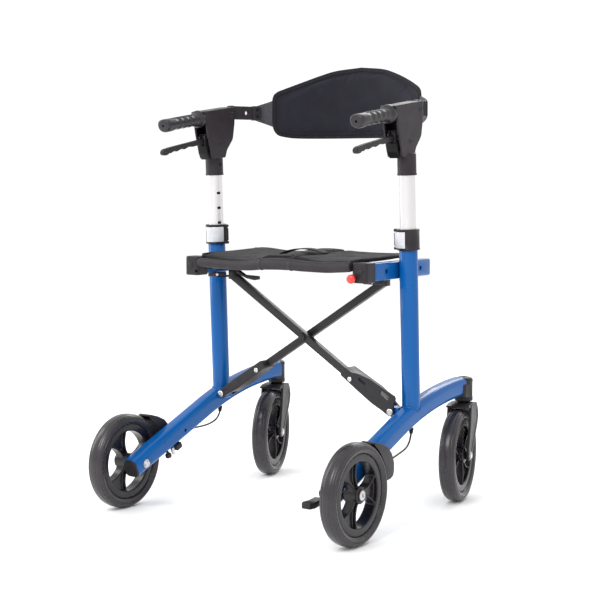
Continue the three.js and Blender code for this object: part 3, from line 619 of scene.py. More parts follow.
def make_posts():
    pair("post_tube", on_post(lathe([(19, 222), (19, 589), (18.4, 590), (17, 590), (17, 222)], 72, True)),
         "paint", "frame", ["upright_post"], 40)
    weld = []
    for z, low in ((494, True), (530, False)):
        side = []
        for k in range(25):
            a = math.pi * (0.72 + 0.56 * k / 24)
            side.append((18.7 * math.cos(a), 18.7 * math.sin(a), z + (-0.6 if low else 0.6)))
        weld.append(on_post(sweep(side, circle(1.5, 8), side=(0, 0, 1))))
    pair("rail_weld", joined(*weld), "paint", "frame", (), 60)


def make_rails():
    rail = prism(ring_rect(24.6, 36, 4, 6), -93, 160.5, "Y")
    rail = moved(rail, None, RAIL_CENTRE)
    holes = [rod("X", 4.6, 226, 240, (y, 512), 40) for y in (-15.5, 120.5)]
    pair("rail_skin", bored(bevelled(rail, 0.6, 2, 60), *holes), "paint", "frame", ["seat_rail"], 35)
    # near-black discs at the bottom of the holes: painted shade inside them
    hole_shade_discs = [rod("X", 4.55, 226, 226.6, (y, 512)) for y in (-15.5, 120.5)]
    pair("rail_hole_shade", joined(*hole_shade_discs), "inner", "frame")
    plug = moved(prism(ring_rect(23.4, 34.8, 4, 6), 157, 162.6, "Y"), None, RAIL_CENTRE)
    pair("rail_end_plug", bevelled(plug, 1.2), "plastic", "frame")

    # small bracket under the rail, level with the seat tube
    plate = bevelled_geo(box((178, -24, 484), (226, -19, 494.5)), 1.2)
    lip = bevelled_geo(box((178, -24, 484), (202, -6, 488)), 1.2)
    pair("rail_bracket", joined(plate, lip), "plastic", "frame")
    head = moved(screw_head(3.6, 1.4), rot("X", 90), (200, -24, 490))
    pair("rail_bracket_screw", head, "steel", "frame")

    # moulded cap over the rear end, with its fixing boss
    plan = rounded([(196, -61), (196, -97), (232, -97), (232, -61)], [0, 9, 9, 0], 8)
    shell = bevelled(prism(plan, 491.5, 532.5, "Z"), 3.2, 4, 50)
    pocket = box((204.7, -93.3, 493.7), (229.9, -50, 530.3))
    shell = bored(shell, pocket, rod("Y", 3.1, -99, -79, (201.2, 500.5)))
    pair("cap_shell", shell, "plastic", "frame", ["rail_cap"], 40)
    rim_path = [(217 + 7.6 * math.cos(a), -97.2, 514 + 7.6 * math.sin(a)) for a in full_turn(40)]
    boss = moved(lathe([(0.2, 0), (6.2, 0), (6.2, 0.8), (5.4, 1.4), (0.2, 1.6)], 32), rot("X", 90),
                 (217, -96.8, 514))
    ring = stacked([[(x + 0.8 * math.cos(b) * (x - 217) / 7.6, y - 0.5 * math.sin(b), z + 0.8 * math.cos(b)
                      * (z - 514) / 7.6) for b in full_turn(8)] for x, y, z in rim_path],
                   closed=True)
    pair("cap_boss", joined(boss, ring), "plastic", "frame")


def make_collars():
    body = lathe([(19.3, 554.6), (22.8, 554.6), (24, 555.8), (24, 558), (23.4, 558.8), (23.4, 593.4),
                  (24, 594.2), (24, 596.4), (22.8, 597.6), (17.2, 597.6), (17.2, 592), (19.3, 590.4)], 72, True)
    ears = [bevelled_geo(box((-32.2, -4.5, z), (-21, 4.5, z + 6)), 1.4) for z in (554.6, 591.6)]
    pin = rod("Z", 2.5, 555.6, 596.6, (-28.7, 0))
    pair("collar_body", on_post(joined(body, *ears, pin)), "plastic", "frame", ["clamp_collar"], 38)

    # over-centre lever: a curved plate with rolled edges, a finger lip and a knuckle on the pin
    section = rounded([(24.6, 559.5), (27.5, 559.5), (27.5, 592.7), (24.6, 592.7)], 1.1, 3)
    rings = []
    for a in np.radians(np.linspace(-16, 74, 33)):
        rings.append([(-r * math.sin(a), -r * math.cos(a), z) for r, z in section])
    lip_section = rounded([(24.7, 562.5), (27.3, 562.5), (27.3, 589.7), (24.7, 589.7)], 1.0, 3)
    lip = []
    for k, a in enumerate(np.radians(np.linspace(73, 83, 8))):
        lip.append([(-(r + 0.12 * k) * math.sin(a), -(r + 0.12 * k) * math.cos(a), z) for r, z in lip_section])
    ridges = []
    for a in np.radians((76, 79, 82)):
        c = np.array((-27.9 * math.sin(a), -27.9 * math.cos(a)))
        ridges.append(rod("Z", 0.5, 565, 587, tuple(c), 8))
    knuckle = lathe([(2.9, 562.5), (4.4, 562.5), (4.4, 589.6), (2.9, 589.6)], 24, True)
    knuckle = moved(knuckle, None, (-28.7, 0, 0))
    pair("lever_plate", on_post(stacked(rings)), "lever_plate", "clamp_lever", ["clamp_lever"],
         40)
    pair("lever_lip", on_post(joined(stacked(lip), *ridges, knuckle)), "plastic", "clamp_lever", (),
         40)


# ------------------------------------------------------------------ handles
def make_handles():
    tube = lathe([(16.7, 400), (16.7, 744), (14.7, 744), (14.7, 400)], 72, True)
    slot = moved(prism(ring_rect(9, 6, 1.8, 4), -20, -12), rot("Z", 24))
    holes = [moved(slot, None, (0, 0, 470 + 33 * k)) for k in range(7)]
    # near-black sleeve inside the tube, seen through the slots: painted shade in the bore
    dark_bore_sleeve = on_post(lathe([(14.6, 401), (14.6, 743), (14.3, 743), (14.3, 401)], 48, True))
    pair("slide_tube_bore_shade", dark_bore_sleeve, "inner", "handle")
    pair("slide_tube", on_post(geo_of(bored(tube, *holes))), "anodised", "handle", ["height_tube"],
         35)

    outline = rounded([(-6, 743), (40, 746), (46, 763), (67, 787), (75, 831), (73, 860), (-39, 845), (-32, 838),
                       (-24, 798), (-12, 757)], [4, 4, 16, 18, 26, 5, 6, 6, 14, 10], 6)
    side = prism(outline, 224.5, 261.5)
    across = moved(prism(ring_rect(37, 130, 9, 6), 700, 900, "Z"), None, (HANDLE_X, 14, 0))
    core = boolean("INTERSECT", side, [across])
    core = fused(core, on_post(lathe([(19.5, 709), (19.5, 752)], 64)))
    recess = prism(rounded([(-60, 756), (5, 756), (9, 770), (8, 808), (-4, 818), (-60, 818)], 4, 4), 229, 257)
    core = bored(core, recess, on_post(lathe([(17, 700), (17, 745.3)], 48)))
    pair("housing_shell", melted(core, 0.95, 7), "housing", "handle", ["handle_housing"], 50)

    lip = [(17, 707.6), (19.9, 707.6), (20.3, 708.4), (20.3, 710.6), (19.9, 711.4), (17, 711.4)]
    pair("sleeve_lip", on_post(lathe(lip, 64, True)), "housing", "handle")
    # near-black sheets over the recess's back and side walls as painted shade in the recess, the lever's ribbed
    # mount and the guard under it
    shade_piece = joined(prism(rounded([(4, 757), (9.4, 770), (8.4, 808), (0, 816)], 2, 3), 229.2, 256.8),
                   *[prism(rounded([(-21, 800), (-11, 760), (6, 758), (8, 808), (-2, 817), (-25, 817)], 2, 3),
                           x, x + 0.5)
                     for x in (229.2, 256.3)])
    pair("recess_shade", shade_piece, "inner", "handle")
    mount = [box((231.5 + 1.4 * k, -17, 793.5), (232.3 + 1.4 * k, 2, 797)) for k in range(17)]
    mount.append(box((231, -16, 787), (255, 8, 794)))
    cheeks = [prism(rounded([(-22, 772), (-14, 765), (6, 766), (8, 796), (-14, 798), (-23, 790)], 4, 4), x,
                    x + 3.5)
              for x in (234.2, 248.3)]
    pair("lever_mount", bevelled(joined(*mount, *cheeks), 0.5, 2), "plastic", "handle")
    guard = prism(rounded([(-23, 772), (-19, 754), (-9, 741), (3, 741), (3, 747), (-6, 749), (-13, 758),
                           (-18, 773)],
                          3, 5), 230.5, 255.5)
    pair("lever_guard", bevelled(guard, 1.2), "inner", "handle")
    pivot = [moved(screw_head(3.4, 1.2), rot("Y", 90), (251.6, -8, 781)),
             moved(screw_head(3.4, 1.2), rot("Y", -90), (234.4, -8, 781))]
    pair("lever_pivot_screws", joined(*pivot), "steel", "handle")

    heads = [(261.3, 62, 842, 1), (224.7, 62, 842, -1), (261.3, 22, 775, 1), (224.7, 22, 775, -1)]
    cups, screws = [], []
    for x, y, z, s in heads:
        turn = rot("Y", 90 * s)
        cups.append(moved(lathe([(3.6, -0.6), (5.2, -0.6), (5.2, 0.5), (4.6, 0.9), (3.9, 0.5)], 28, True), turn,
                          (x, y, z)))
        screws.append(moved(screw_head(3.7, 0.5), turn, (x - 0.4 * s, y, z)))
    pair("housing_screw_cups", joined(*cups), "housing", "handle")
    pair("housing_screws", joined(*screws), "inner", "handle")
    button = on_post(moved(screw_head(4.4, 1.1, False), rot("Y", -90), (-19.2, -1, 731)))
    pair("sleeve_button", button, "inner", "handle")
    make_grips()
    make_brake_levers()
    make_brackets()


def make_grips():
    """Palm grip: flat wide top, rounded belly with four finger dents, and a flared guard ring."""
    stations = [(-6, 15.5, 15.5), (1, 17.4, 17.4), (3, 19.3, 19.3), (7, 19.8, 19.8), (11, 19.5, 19.5),
                (14, 18.0, 18.0), (17.5, 15.7, 15.4), (23, 15.0, 14.4)]
    for k in range(4):
        base = 26 + 18.5 * k
        stations += [(base, 15.5, 14.6), (base + 5, 13.9, 13.0), (base + 9, 13.9, 12.7),
                     (base + 14, 15.5, 13.8)]
    stations += [(100, 15.7, 14.8), (108, 16.2, 15.3), (117, 16.4, 15.5), (122, 16.1, 15.2), (126, 15.0, 14.0),
                 (127.6, 13.2, 12.2)]
    slope = math.radians(GRIP_SLOPE)
    back = np.array((0, -math.cos(slope), -math.sin(slope)))
    up = np.array((0, -math.sin(slope), math.cos(slope)))
    across = np.array((1.0, 0, 0))
    origin = np.array((HANDLE_X, -28, 830.2))
    rings = []
    for s, wide, deep in stations:
        ring = []
        for k in range(48):
            a = 2 * math.pi * k / 48
            x, z = math.cos(a), math.sin(a)
            power = 1.0 if s < 15 else (2.8 if z > 0 else 2.0)
            r = 1.0 if s < 15 else (abs(x) ** power + abs(z) ** power) ** (-1 / power)
            top = wide * (0.97 if s < 15 else 0.80)
            ring.append(origin + back * s + across * wide * x * r + up * (top if z > 0 else deep) * z * r)
        rings.append(ring)
    grip = stacked(rings)
    hole = moved(lathe([(2.6, -8), (2.6, 6)], 20), rot("X", 90 + GRIP_SLOPE),
                 tuple(origin + back * 127.0 + up * -1))
    pair("grip_body", bored(modified(to_mesh(grip), ("SUBSURF", dict(levels=1, render_levels=1))), hole),
         "grip", "handle", ["hand_grip"], 40)
    # near-black disc at the bottom of the grip's screw hole: painted shade inside the hole
    shade_piece = moved(lathe([(2.5, -6.9), (2.5, -6.4)], 20), rot("X", 90 + GRIP_SLOPE),
                  tuple(origin + back * 127.0 + up * -1))
    pair("grip_hole_shade", shade_piece, "inner", "handle")
    # raised palm lines on the top of the grip
    lines = []
    for x in (-7.5, -2.5, 2.5, 7.5):
        path = [origin + back * s + across * x * (1 - 0.1 * abs(s - 70) / 70) + up * (12.35 - 0.012 * x * x)
                for s in np.linspace(28, 111, 24)]
        lines.append(sweep(path, circle(0.55, 8), side=(1, 0, 0), scale=[0.3] + [1] * 22 + [0.3]))
    pair("grip_palm_lines", joined(*lines), "grip", "handle")


def make_brake_levers():
    top = [(-2, 786), (-8, 789.5), (-22, 786.5), (-60, 779.8), (-100, 772.6), (-132, 766.8), (-143, 764.2),
           (-151, 762.6), (-158, 759.1), (-160, 753.6)]
    bottom = [(-157, 749.2), (-150, 748.2), (-142, 750.2), (-137, 754), (-132, 753.2), (-127, 756), (-120, 759),
              (-113, 757.2), (-104, 760.4), (-96, 763.8), (-87, 762.2), (-78, 765.6), (-70, 768.8), (-60, 768),
              (-40, 771.6), (-14, 774.5), (-4, 776)]
    outline = rounded(top + bottom, 3.2, 3)
    blade = prism(outline, 238.2, 247.8)
    tip = moved(lathe([(0.1, -6.6), (3.4, -5.6), (5.6, -2.6), (6, 0), (5.6, 2.6), (3.4, 5.6), (0.1, 6.6)], 24),
                rot("Y", 90), (HANDLE_X, -152.5, 755.2))
    eye = rod("X", 7.6, 238, 248, LEVER_PIVOT)
    mesh = melted(fused(blade, tip, eye), 0.8, 6)
    pair("lever_blade", mesh, "plastic", "brake_lever", ["brake_lever"], 55)


def make_brackets():
    turn = rot("Z", 18.8)

    def placed(geo):
        return moved(geo, turn, (HANDLE_X, 76, BRACKET_Z))

    def block(low, high, half, thick, width):
        outline = rounded([(low, -half), (high, -half), (high, half), (low, half)], 4, 4)
        return bevelled_geo(prism(outline, -thick, thick), width)
    arm = prism(rounded([(-4, -15), (78, -15), (84, -10), (84, 10), (78, 15), (-4, 15)], 3.5, 5), -4, 4)
    arm = bored(bevelled(arm, 1.2), rod("X", 5.2, 1.8, 9, (46, 0), 32), rod("X", 5.2, -9, -1.8, (46, 0), 32),
                rod("X", 4.2, -9, 9, (46, 0), 32))
    geo = geo_of(arm)
    knuckle = block(-2, 13, 15.8, 6.4, 1.5)
    grommet = [moved(lathe([(5.1, -0.4), (7, -0.4), (7, 0.6), (6.4, 1), (5.4, 0.6)], 32, True),
                     rot("Y", 90 * s), (4 * s, 46, 0)) for s in (1, -1)]
    end_block = block(62, 84.4, 16.4, 6, 1.4)
    pair("bracket_arm", placed(joined(geo, knuckle, *grommet, end_block)), "plastic", "handle",
         ["backrest_bracket"], 38)
    screws = [moved(screw_head(4.2, 1.6), rot("Y", 90 * s), (6.2 * s, 5.5, 0)) for s in (1, -1)]
    screws += [moved(screw_head(3.6, 1.2), rot("Y", 90 * s), (5.8 * s, 73, z)) for s in (1, -1)
               for z in (-7.5, 7.5)]
    pair("bracket_screws", placed(joined(*screws)), "inner", "handle")


# ------------------------------------------------------------------ cross frame and seat tubes
BAR_TILT = math.degrees(math.atan2(CROSS_Z - HINGE[1], HINGE[0]))
ARM_LOW = math.hypot(HINGE[0], CROSS_Z - HINGE[1])


def make_cross_bars():
    for name, plane, mirror in (("b", 42, False), ("a", 22, True)):
        bar = box((30, plane - 7, -6.5), (ARM_LOW + 226, plane + 7, 9.5))
        top = [(140, 11), (60, 17), (40, 16), (28, 14.5), (16, 10.5)] if mirror else [(140, 9.5), (60, 10)]
        foot = prism(rounded([(-8, 3), (-8, -3), (-4, -8.3), (0, -9), (60, -11), (140, -9), *top, (5, 8.4),
                              (-4, 7.6)], 4, 4), 13, 51, "Y")
        tall = [(128, 9), (104, 20), (76, 28), (36, 31.5), (10, 34), (5, 31), (0, 15), (-3, 8)]
        slim = [(128, 9), (60, 10), (5, 8)]
        gusset = prism(rounded([(-6, 0), (4, -8), (45, -12), (95, -11), (135, -9), (140, 3),
                                *(tall if mirror else slim)], 4, 4), 13, 17, "Y")
        base = CROSS_Z + 190 * math.tan(math.radians(BAR_TILT)) - 6
        saddle = moved(box((181, plane - 7, base), (199, plane + 7, 508)), None, (HINGE[0], 0, -HINGE[1]))
        saddle = moved(saddle, rot("Y", BAR_TILT))
        seat = moved(rod("Y", 9.6, 0, 70, (411, 293.3)), rot("Y", BAR_TILT))
        slot = moved(prism(ring_rect(26, 8, 3.9), 0, 70, "Y"), None, (29, 0, 21.3))
        blind = moved(prism(ring_rect(20, 6, 2.9), 0, 16.8, "Y"), None, (89, 0, 12.3))
        pocket = box((-20, 20, -30), (24, 44, 40))
        mesh = fused(bar, foot, gusset, saddle)
        slots = (slot, blind) if mirror else ()
        mesh = bored(mesh, pocket, *slots, seat, rod("Y", 4.2, 0, 70, (0, 0)),
                     rod("Y", 4.3, 0, 70, (ARM_LOW, 0)))
        geo = bevelled_geo(mesh, 1.3, 2, 40)
        geo = moved(moved(geo, rot("Y", -BAR_TILT)), None, (-HINGE[0], 0, HINGE[1]))
        mesh = to_mesh(geo)
        if mirror:
            mesh = flipped(mesh)
        put(f"bar_tube_{name}", mesh, "black_paint", f"bar_{name}", [f"cross_bar_{name}"], 35)
        # rivets through the foot plates
        heads = [moved(screw_head(5.2, 1.8, False), rot("X", turn), (116, y, -2.5))
                 for y, turn in ((12.9, 90), (51.1, -90))]
        rivets = moved(moved(joined(*heads), rot("Y", -BAR_TILT)), None, (-HINGE[0], 0, HINGE[1]))
        mesh = to_mesh(rivets)
        put(f"bar_rivets_{name}", flipped(mesh) if mirror else mesh, "steel", f"bar_{name}")

    latch = prism(rounded([(-178, 499), (-158, 487.5), (-121, 486), (-121, 478.5), (-130, 477), (-150, 480),
                           (-172, 488)], 1.5, 3), 17, 27, "Y")
    put("bar_latch", bevelled(latch, 0.8), "plastic", "bar_a")

    def through(x, z, low, high, radius, head):
        """A pin with a domed head at one end and a flanged nut at the other."""
        shank = rod("Y", 3.9, low, high, (x, z), 24)
        dome = moved(screw_head(radius, head), rot("X", 90), (x, low + head, z))
        flange = moved(lathe([(4, 0), (radius, 0), (radius, 0.9), (4, 0.9)], 28, True), rot("X", -90),
                       (x, high - head, z))
        nut = moved(prism(hexagon(radius * 0.8), 0, head, "Z"), rot("X", -90), (x, high - head, z))
        return joined(shank, dome, flange, nut)
    put("cross_pivot_bolt", through(0, CROSS_Z, 10.7, 53.3, 8, 4), "black_paint", "bar_b",
        ["cross_bolt"])
    for side, body, x in (("left", "bar_b", -HINGE[0]), ("right", "bar_a", HINGE[0])):
        put(f"foot_pin_{side}", through(x, HINGE[1], 10.5, 53.5, 7, 2.5), "steel", body,
            [f"hinge_pin_{side}"])

    tube = lathe_y([(9.5, -57), (9.5, 154), (7.6, 154), (7.6, -57)], 48, True)
    cap = lathe_y([(0.2, 151), (7.4, 151), (7.4, 154), (9.5, 154), (9.5, 155), (7.5, 156.2), (0.2, 156.5)], 40)
    rear = lathe_y([(0.2, -60), (7.5, -59.6), (9.5, -58.4), (9.5, -57), (7.4, -57), (7.4, -54), (0.2, -54)], 40)
    for side, body, x in (("right", "bar_b", 190), ("left", "bar_a", -190)):
        put(f"seat_rod_{side}", moved(tube, None, (x, 0, 512)), "black_paint", body,
            [f"seat_tube_{side}"], 35)
        put(f"seat_rod_ends_{side}", moved(joined(cap, rear), None, (x, 0, 512)), "plastic", body)


# ------------------------------------------------------------------ wheels
def wheel_tyre():
    profile = [(80, -13.4), (81.5, -15.2), (85, -16.8), (88.2, -17.5), (88.8, -16.5), (90.2, -16.4),
               (90.8, -17.3), (93.6, -16.9), (95.3, -15.9), (95.7, -14.6), (96.8, -14.2), (97.4, -13),
               (98.6, -11.2), (99.1, -9.4), (98.6, -8.6), (99.4, -7.6), (99.9, -4), (100, 0)]
    profile += [(r, -h) for r, h in reversed(profile[:-1])]
    return lathe_x(profile, 144, True)


def wheel_rim(bore, turn_degrees):
    """Moulded rim: a deep band, a stepped hub and three hollow-backed spokes with raised edges."""
    band = lathe([(64, -12), (66, -13), (77.2, -13), (77.8, -12.2), (78.4, -12.2), (79.6, -13), (79.6, 13),
                  (78.4, 12.2), (77.8, 12.2), (77.2, 13), (66, 13), (64, 12)], 120, True)
    hub = lathe([(bore, -17), (13.4, -17), (14.4, -16), (17, -15), (17, 15), (14.4, 16), (13.4, 17),
                 (bore, 17)],
                64, True)
    web, ribs = [], []
    for i in range(3):
        turn = rot("Z", 30 + 120 * i)
        right = [(14, 8), (24, 8.4), (34, 11), (44, 16), (53, 23.5), (60, 31), (65.2, 40)]
        outline = [(a, -b) for a, b in right] + [(a, b) for a, b in reversed(right)]
        web.append(moved(prism(outline, -3, 3, "Z"), turn))
        for sign in (1, -1):
            path = [(a, sign * (b - 1.7), 0) for a, b in right]
            ribs.append(moved(sweep(spline(path, 22), ring_rect(3.6, 21, 1.5, 3), side=(0, 1, 0)), turn))
        ribs.append(moved(prism(rounded([(15, -1.4), (30, -1.2), (30, 1.2), (15, 1.4)], 0.5, 2), -7, 7, "Z"),
                          turn))
    mesh = fused(hub, band)
    for part in web + ribs:
        mesh = fused(mesh, part)
    mesh = melted(mesh, 1.15, 4)
    return to_mesh(moved(moved(geo_of(mesh), rot("Z", turn_degrees)), rot("Y", 90)))


def make_wheels():
    tyre = wheel_tyre()
    for side, s in (("right", 1), ("left", -1)):
        centre = (s * REAR_WHEEL_X, *REAR_AXLE)
        rim = geo_of(wheel_rim(6.3, 60))
        put(f"rear_tread_{side}", moved(tyre, None, centre), "tyre", f"rear_wheel_{side}",
            [f"rear_tyre_{side}"], 50)
        put(f"rear_spokes_{side}", moved(rim, None, centre), "rim", f"rear_wheel_{side}",
            [f"rear_rim_{side}"], 50)
        disc = lathe([(0.2, 0.2), (9.6, 0.2), (9.6, 1.7), (9.0, 2.2), (0.2, 2.5)], 48)
        ring = lathe([(9.7, 0), (13, 0), (13, 1.0), (12, 1.8), (10.2, 1.8), (9.7, 1.3)], 48, True)
        put(f"hub_disc_ring_{side}", moved(ring, rot("Y", 90 * s), (s * CAP_X, *REAR_AXLE)), "rim",
            f"rear_wheel_{side}")
        bars = [box((-0.6, -4.5, 2.0), (0.6, 4.5, 2.7)), box((-4.5, -0.6, 2.0), (4.5, 0.6, 2.7))]
        disc = moved(disc, rot("Y", 90 * s), (s * CAP_X, *REAR_AXLE))
        put(f"hub_disc_{side}", disc, "disc", f"rear_wheel_{side}", [f"rear_hub_cap_{side}"])
        mark = moved(joined(*bars), rot("Y", 90 * s) @ rot("Z", 45), (s * CAP_X, *REAR_AXLE))
        put(f"hub_disc_mark_{side}", mark, "plastic", f"rear_wheel_{side}")
    axle = rod("X", 6, 227, 305.5, REAR_AXLE)
    nut = prism(hexagon(7.4, REAR_AXLE), 225.5, 229.7)
    washer = lathe_x([(6, 228.9), (9, 228.9), (9, 229.9), (6, 229.9)], 40, True)
    washer = moved(washer, None, (0, *REAR_AXLE))
    stub = moved(lathe_x([(0.2, 223.6), (4.6, 223.6), (5.2, 224.2), (5.2, 226), (0.2, 226)], 32), None,
                 (0, *REAR_AXLE))
    pair("axle_bolt", joined(axle, bevelled_geo(nut, 0.6, 2), washer, stub), "steel", "frame",
         ["rear_axle"])


SWIVEL = {"right": 13.4, "left": 18.2}


def make_casters():
    head = lathe([(8.3, 213), (18.6, 213), (20, 214.4), (20, 222), (19.4, 223), (19.4, 255), (20, 256),
                  (20, 259), (19.2, 261.4), (16.8, 263.8), (13.6, 265), (0.2, 265.6), (0.2, 257), (8.3, 257)],
                  64)
    socket = prism(rounded([(-19, -30), (19, -30), (19, 6), (-19, 6)], 8, 6), 222, 252, "Z")
    mesh = fused(head, bevelled(socket, 2.5, 3, 50))
    mesh = geo_of(bored(mesh, rod("Z", 8.4, 200, 257, (0, 0))))
    pair("caster_housing", moved(mesh, None, (*CASTER, 0)), "plastic", "frame", ["caster_head"], 38)
    dimple = moved(lathe([(0.2, 265.4), (5.4, 265.4), (5.8, 266.0), (5.4, 266.4), (0.2, 266.7)], 32), None,
                   (*CASTER, 0))
    pair("caster_top_cap", dimple, "inner", "frame")

    leg = rounded([(-34, 210), (10, 210), (21, 197), (26, 180), (19, 160), (-32, 92), (-38, 88.5), (-50, 88.5),
                   (-57, 96), (-57, 106), (-44, 150)], [6, 8, 10, 12, 30, 8, 6, 6, 8, 20, 60], 6)
    legs = [prism(leg, -27.5, -21.5), prism(leg, 21.5, 27.5)]
    arch = [(FRONT_AXLE[0] + 104 * math.cos(a), FRONT_AXLE[1] + 104 * math.sin(a))
            for a in np.radians(np.linspace(96, 52, 12))]
    crown = prism(arch + [(20, 196), (10, 210), (-34, 210), (-50, 207)], -26, 26)
    stem = lathe([(8, 206), (8, 256)], 40)
    boss = lathe([(14, 205), (14, 210.6), (13, 212)], 40)
    mesh = fused(legs[0], crown, legs[1], boss)
    pocket = [prism(rounded([(-24, 196), (8, 196), (15, 188), (17, 178), (11, 164), (-30, 108), (-40, 108),
                             (-36, 150)],
                            7, 4), x, x + 2.2) for x in (-28.5, 26.3)]
    mesh = bored(mesh, *pocket, rod("X", 4.3, -40, 40, FRONT_AXLE))
    fork = geo_of(melted(mesh, 1.0, 4))
    fork = joined(fork, stem)
    reach = 27.8
    axle = [rod("X", 4, -reach - 1, reach + 1, FRONT_AXLE)]
    for s in (1, -1):
        axle.append(moved(lathe([(4, 0), (8.2, 0), (8.2, 0.8), (4, 0.8)], 32, True), rot("Y", 90 * s),
                          (s * reach, *FRONT_AXLE)))
        nut = prism(hexagon(6.8), 0.6, 3.4, "Z")
        axle.append(moved(bevelled_geo(nut, 0.5, 2), rot("Y", 90 * s), (s * reach, *FRONT_AXLE)))
    axle = joined(*axle)
    rim, tyre = wheel_rim(4.3, 0), wheel_tyre()
    collar = lathe_x([(4.4, 17.2), (9, 17.2), (9, 21.2), (4.4, 21.2)], 32, True)
    spacers = joined(collar, moved(collar, rot("Z", 180)))
    for side, s in (("right", 1), ("left", -1)):
        turn, place = rot("Z", SWIVEL[side]), (s * CASTER[0], CASTER[1], 0)
        put(f"fork_body_{side}", moved(fork, turn, place), "plastic", f"caster_{side}",
            [f"caster_fork_{side}"], 50)
        put(f"fork_axle_{side}", moved(axle, turn, place), "steel", f"caster_{side}",
            [f"front_axle_{side}"])
        inner = moved(moved(spacers, None, (0, *FRONT_AXLE)), turn, place)
        put(f"axle_spacers_{side}", inner, "inner", f"caster_{side}")
        for name, geo, mat, slot, old in (("front_tread", tyre, "tyre", "tyre", "front_tyre"),
                                          ("front_spokes", geo_of(rim), "rim", "rim", "front_rim")):
            local = moved(geo, None, (0, *FRONT_AXLE))
            put(f"{name}_{side}", moved(local, turn, place), mat, f"front_wheel_{side}",
                [f"{old}_{side}"], 50)


# ------------------------------------------------------------------ brakes
def make_brakes():
    def around(points):
        return [(REAR_AXLE[0] + u, REAR_AXLE[1] + w) for u, w in points]
    outer = rounded(around([(56, 90), (62, 92), (86, 85), (108, 75), (122, 61), (130, 43), (131, 28), (127, 15),
                            (116, 11), (100, 9)]), [2, 5, 12, 12, 14, 14, 10, 8, 6, 0], 5)
    inner = rounded(around([(40, 82), (62, 88.5), (85, 81.5), (105.5, 72.5), (118.5, 59.5), (126.5, 42.5),
                            (127.5, 29), (123, 19), (90, 18)]), [0, 4, 10, 10, 12, 12, 8, 6, 0], 5)
    shell = bevelled(prism(outer, 269, 301), 2.2, 3, 50)
    shell = bored(shell, prism(inner, 272, 298), rod("X", 104, 268, 302, REAR_AXLE, 160),
                  rod("Y", 3.2, -156, -60, (279, 138.5), 24))
    pair("brake_shroud", shell, "plastic", "frame", ["brake_cover"], 38)
    pad = rounded(around([(70, 74), (73.6, 81.7), (89, 70), (101.5, 54.5), (109, 40), (104, 30), (94, 30)]),
                  2, 4)
    pad = bored(bevelled(prism(pad, 274, 296), 1, 2, 50), rod("X", 104.1, 268, 302, REAR_AXLE, 160))
    pair("brake_block", pad, "plastic", "brake_shoe", ["brake_shoe"], 38)

    route = [(249, 33.4, 640), (249, 38, 540), (249, 44.7, 390), (249.5, 50.5, 262), (250.5, 50, 215),
             (251, 49, 196), (251, 49, 176), (251.5, 46, 166), (253, 38, 156), (256, 24, 149), (260, 4, 145),
             (266, -25, 143), (271, -52, 141), (276, -78, 139), (279, -96, 138.5), (281, -108, 138.5)]
    pair("cable_run", sweep(spline(route, 240), circle(2, 14), side=(1, 0, 0)), "cable", "frame",
         ["brake_cable"], 60)
    # cable exit gland under the tube and the adjuster at the shroud
    gland = moved(lathe([(2.1, 0), (5.2, 0), (5.2, -3), (3.4, -12), (2.1, -12.6)], 32, True), None,
                  (251, 49, 184))
    pair("cable_gland", gland, "inner", "frame")
    turn = rot("X", 90)
    barrel = moved(lathe([(2.1, -17), (4.4, -17), (4.4, -6), (3.4, -5), (3.4, 0), (2.1, 0)], 32, True), turn,
                   (278.6, -96, 138.5))
    lock = moved(prism(hexagon(5.4), 0, 3, "Z"),
                 turn, (278.8, -97, 138.5))
    pair("cable_adjuster", joined(barrel, lock), "steel", "frame")

    # fixing block, silver barrel and thumb knob under each tube
    slope = math.atan2(93, 232)
    along = np.array((0, math.cos(slope), math.sin(slope)))
    down = np.array((0, math.sin(slope), -math.cos(slope)))

    def under(distance, drop):
        return tuple(np.array((236.5, -258, 92)) + along * distance + down * (20.5 + drop))
    tilt = rot("X", math.degrees(slope))
    block = bevelled_geo(box((-6, -9, -12), (6, 9, 1)), 2)
    pair("adjuster_block", moved(block, tilt, under(139, 0)), "plastic", "frame")
    barrel = lathe([(0.2, -15), (3.6, -15), (4.2, -14), (4.2, 1), (0.2, 1)], 32)
    pair("adjuster_barrel", moved(barrel, tilt, under(121, 0)), "steel", "frame")
    knob = lathe([(0.2, -13), (5.6, -13), (6.8, -11.6), (6.8, -5.4), (5.6, -4), (3, -3.4), (3, 1), (0.2, 1)],
                 32)
    pair("adjuster_knob", moved(knob, tilt, under(104, 0)), "plastic", "frame")

    # small pedal that helps tip the frame over a kerb
    side = rounded([(-290, 73), (-290, 86), (-272, 85), (-244, 88), (-244, 76), (-272, 72)],
                   [3, 4, 10, 0, 0, 10], 5)
    put("pedal_tread", bevelled(prism(side, 209, 229), 1.6), "plastic", "frame_right", ["tip_pedal"])
    bars = [moved(bevelled_geo(box((-8.6, -0.9, 0), (8.6, 0.9, 1.3)), 0.5, 2), None,
                  (219, -286 + 4.4 * k, 85.4 - 0.2 * k))
            for k in range(4)]
    put("pedal_ridges", joined(*bars), "plastic", "frame_right")

    knob_profile = [(0.2, 0), (5.5, 0), (8.4, 1.6), (9.5, 4), (9.5, 8.4), (8.4, 10.4), (6.2, 12), (2.8, 12),
                    (2.8, 30), (0.2, 30)]
    rings = []
    for r, h in knob_profile:
        lobe = 0.35 if r > 7 else 0.0
        rings.append([((r - lobe + lobe * math.cos(9 * a)) * math.cos(a),
                       (r - lobe + lobe * math.cos(9 * a)) * math.sin(a), h)
                      for a in full_turn(72)])
    knob = moved(moved(stacked(rings), rot("X", -90)), None, (201.2, -111.5, 500.5))
    put("lock_knob_red", knob, "red", "lock_knob", ["fold_lock_knob"], 40)


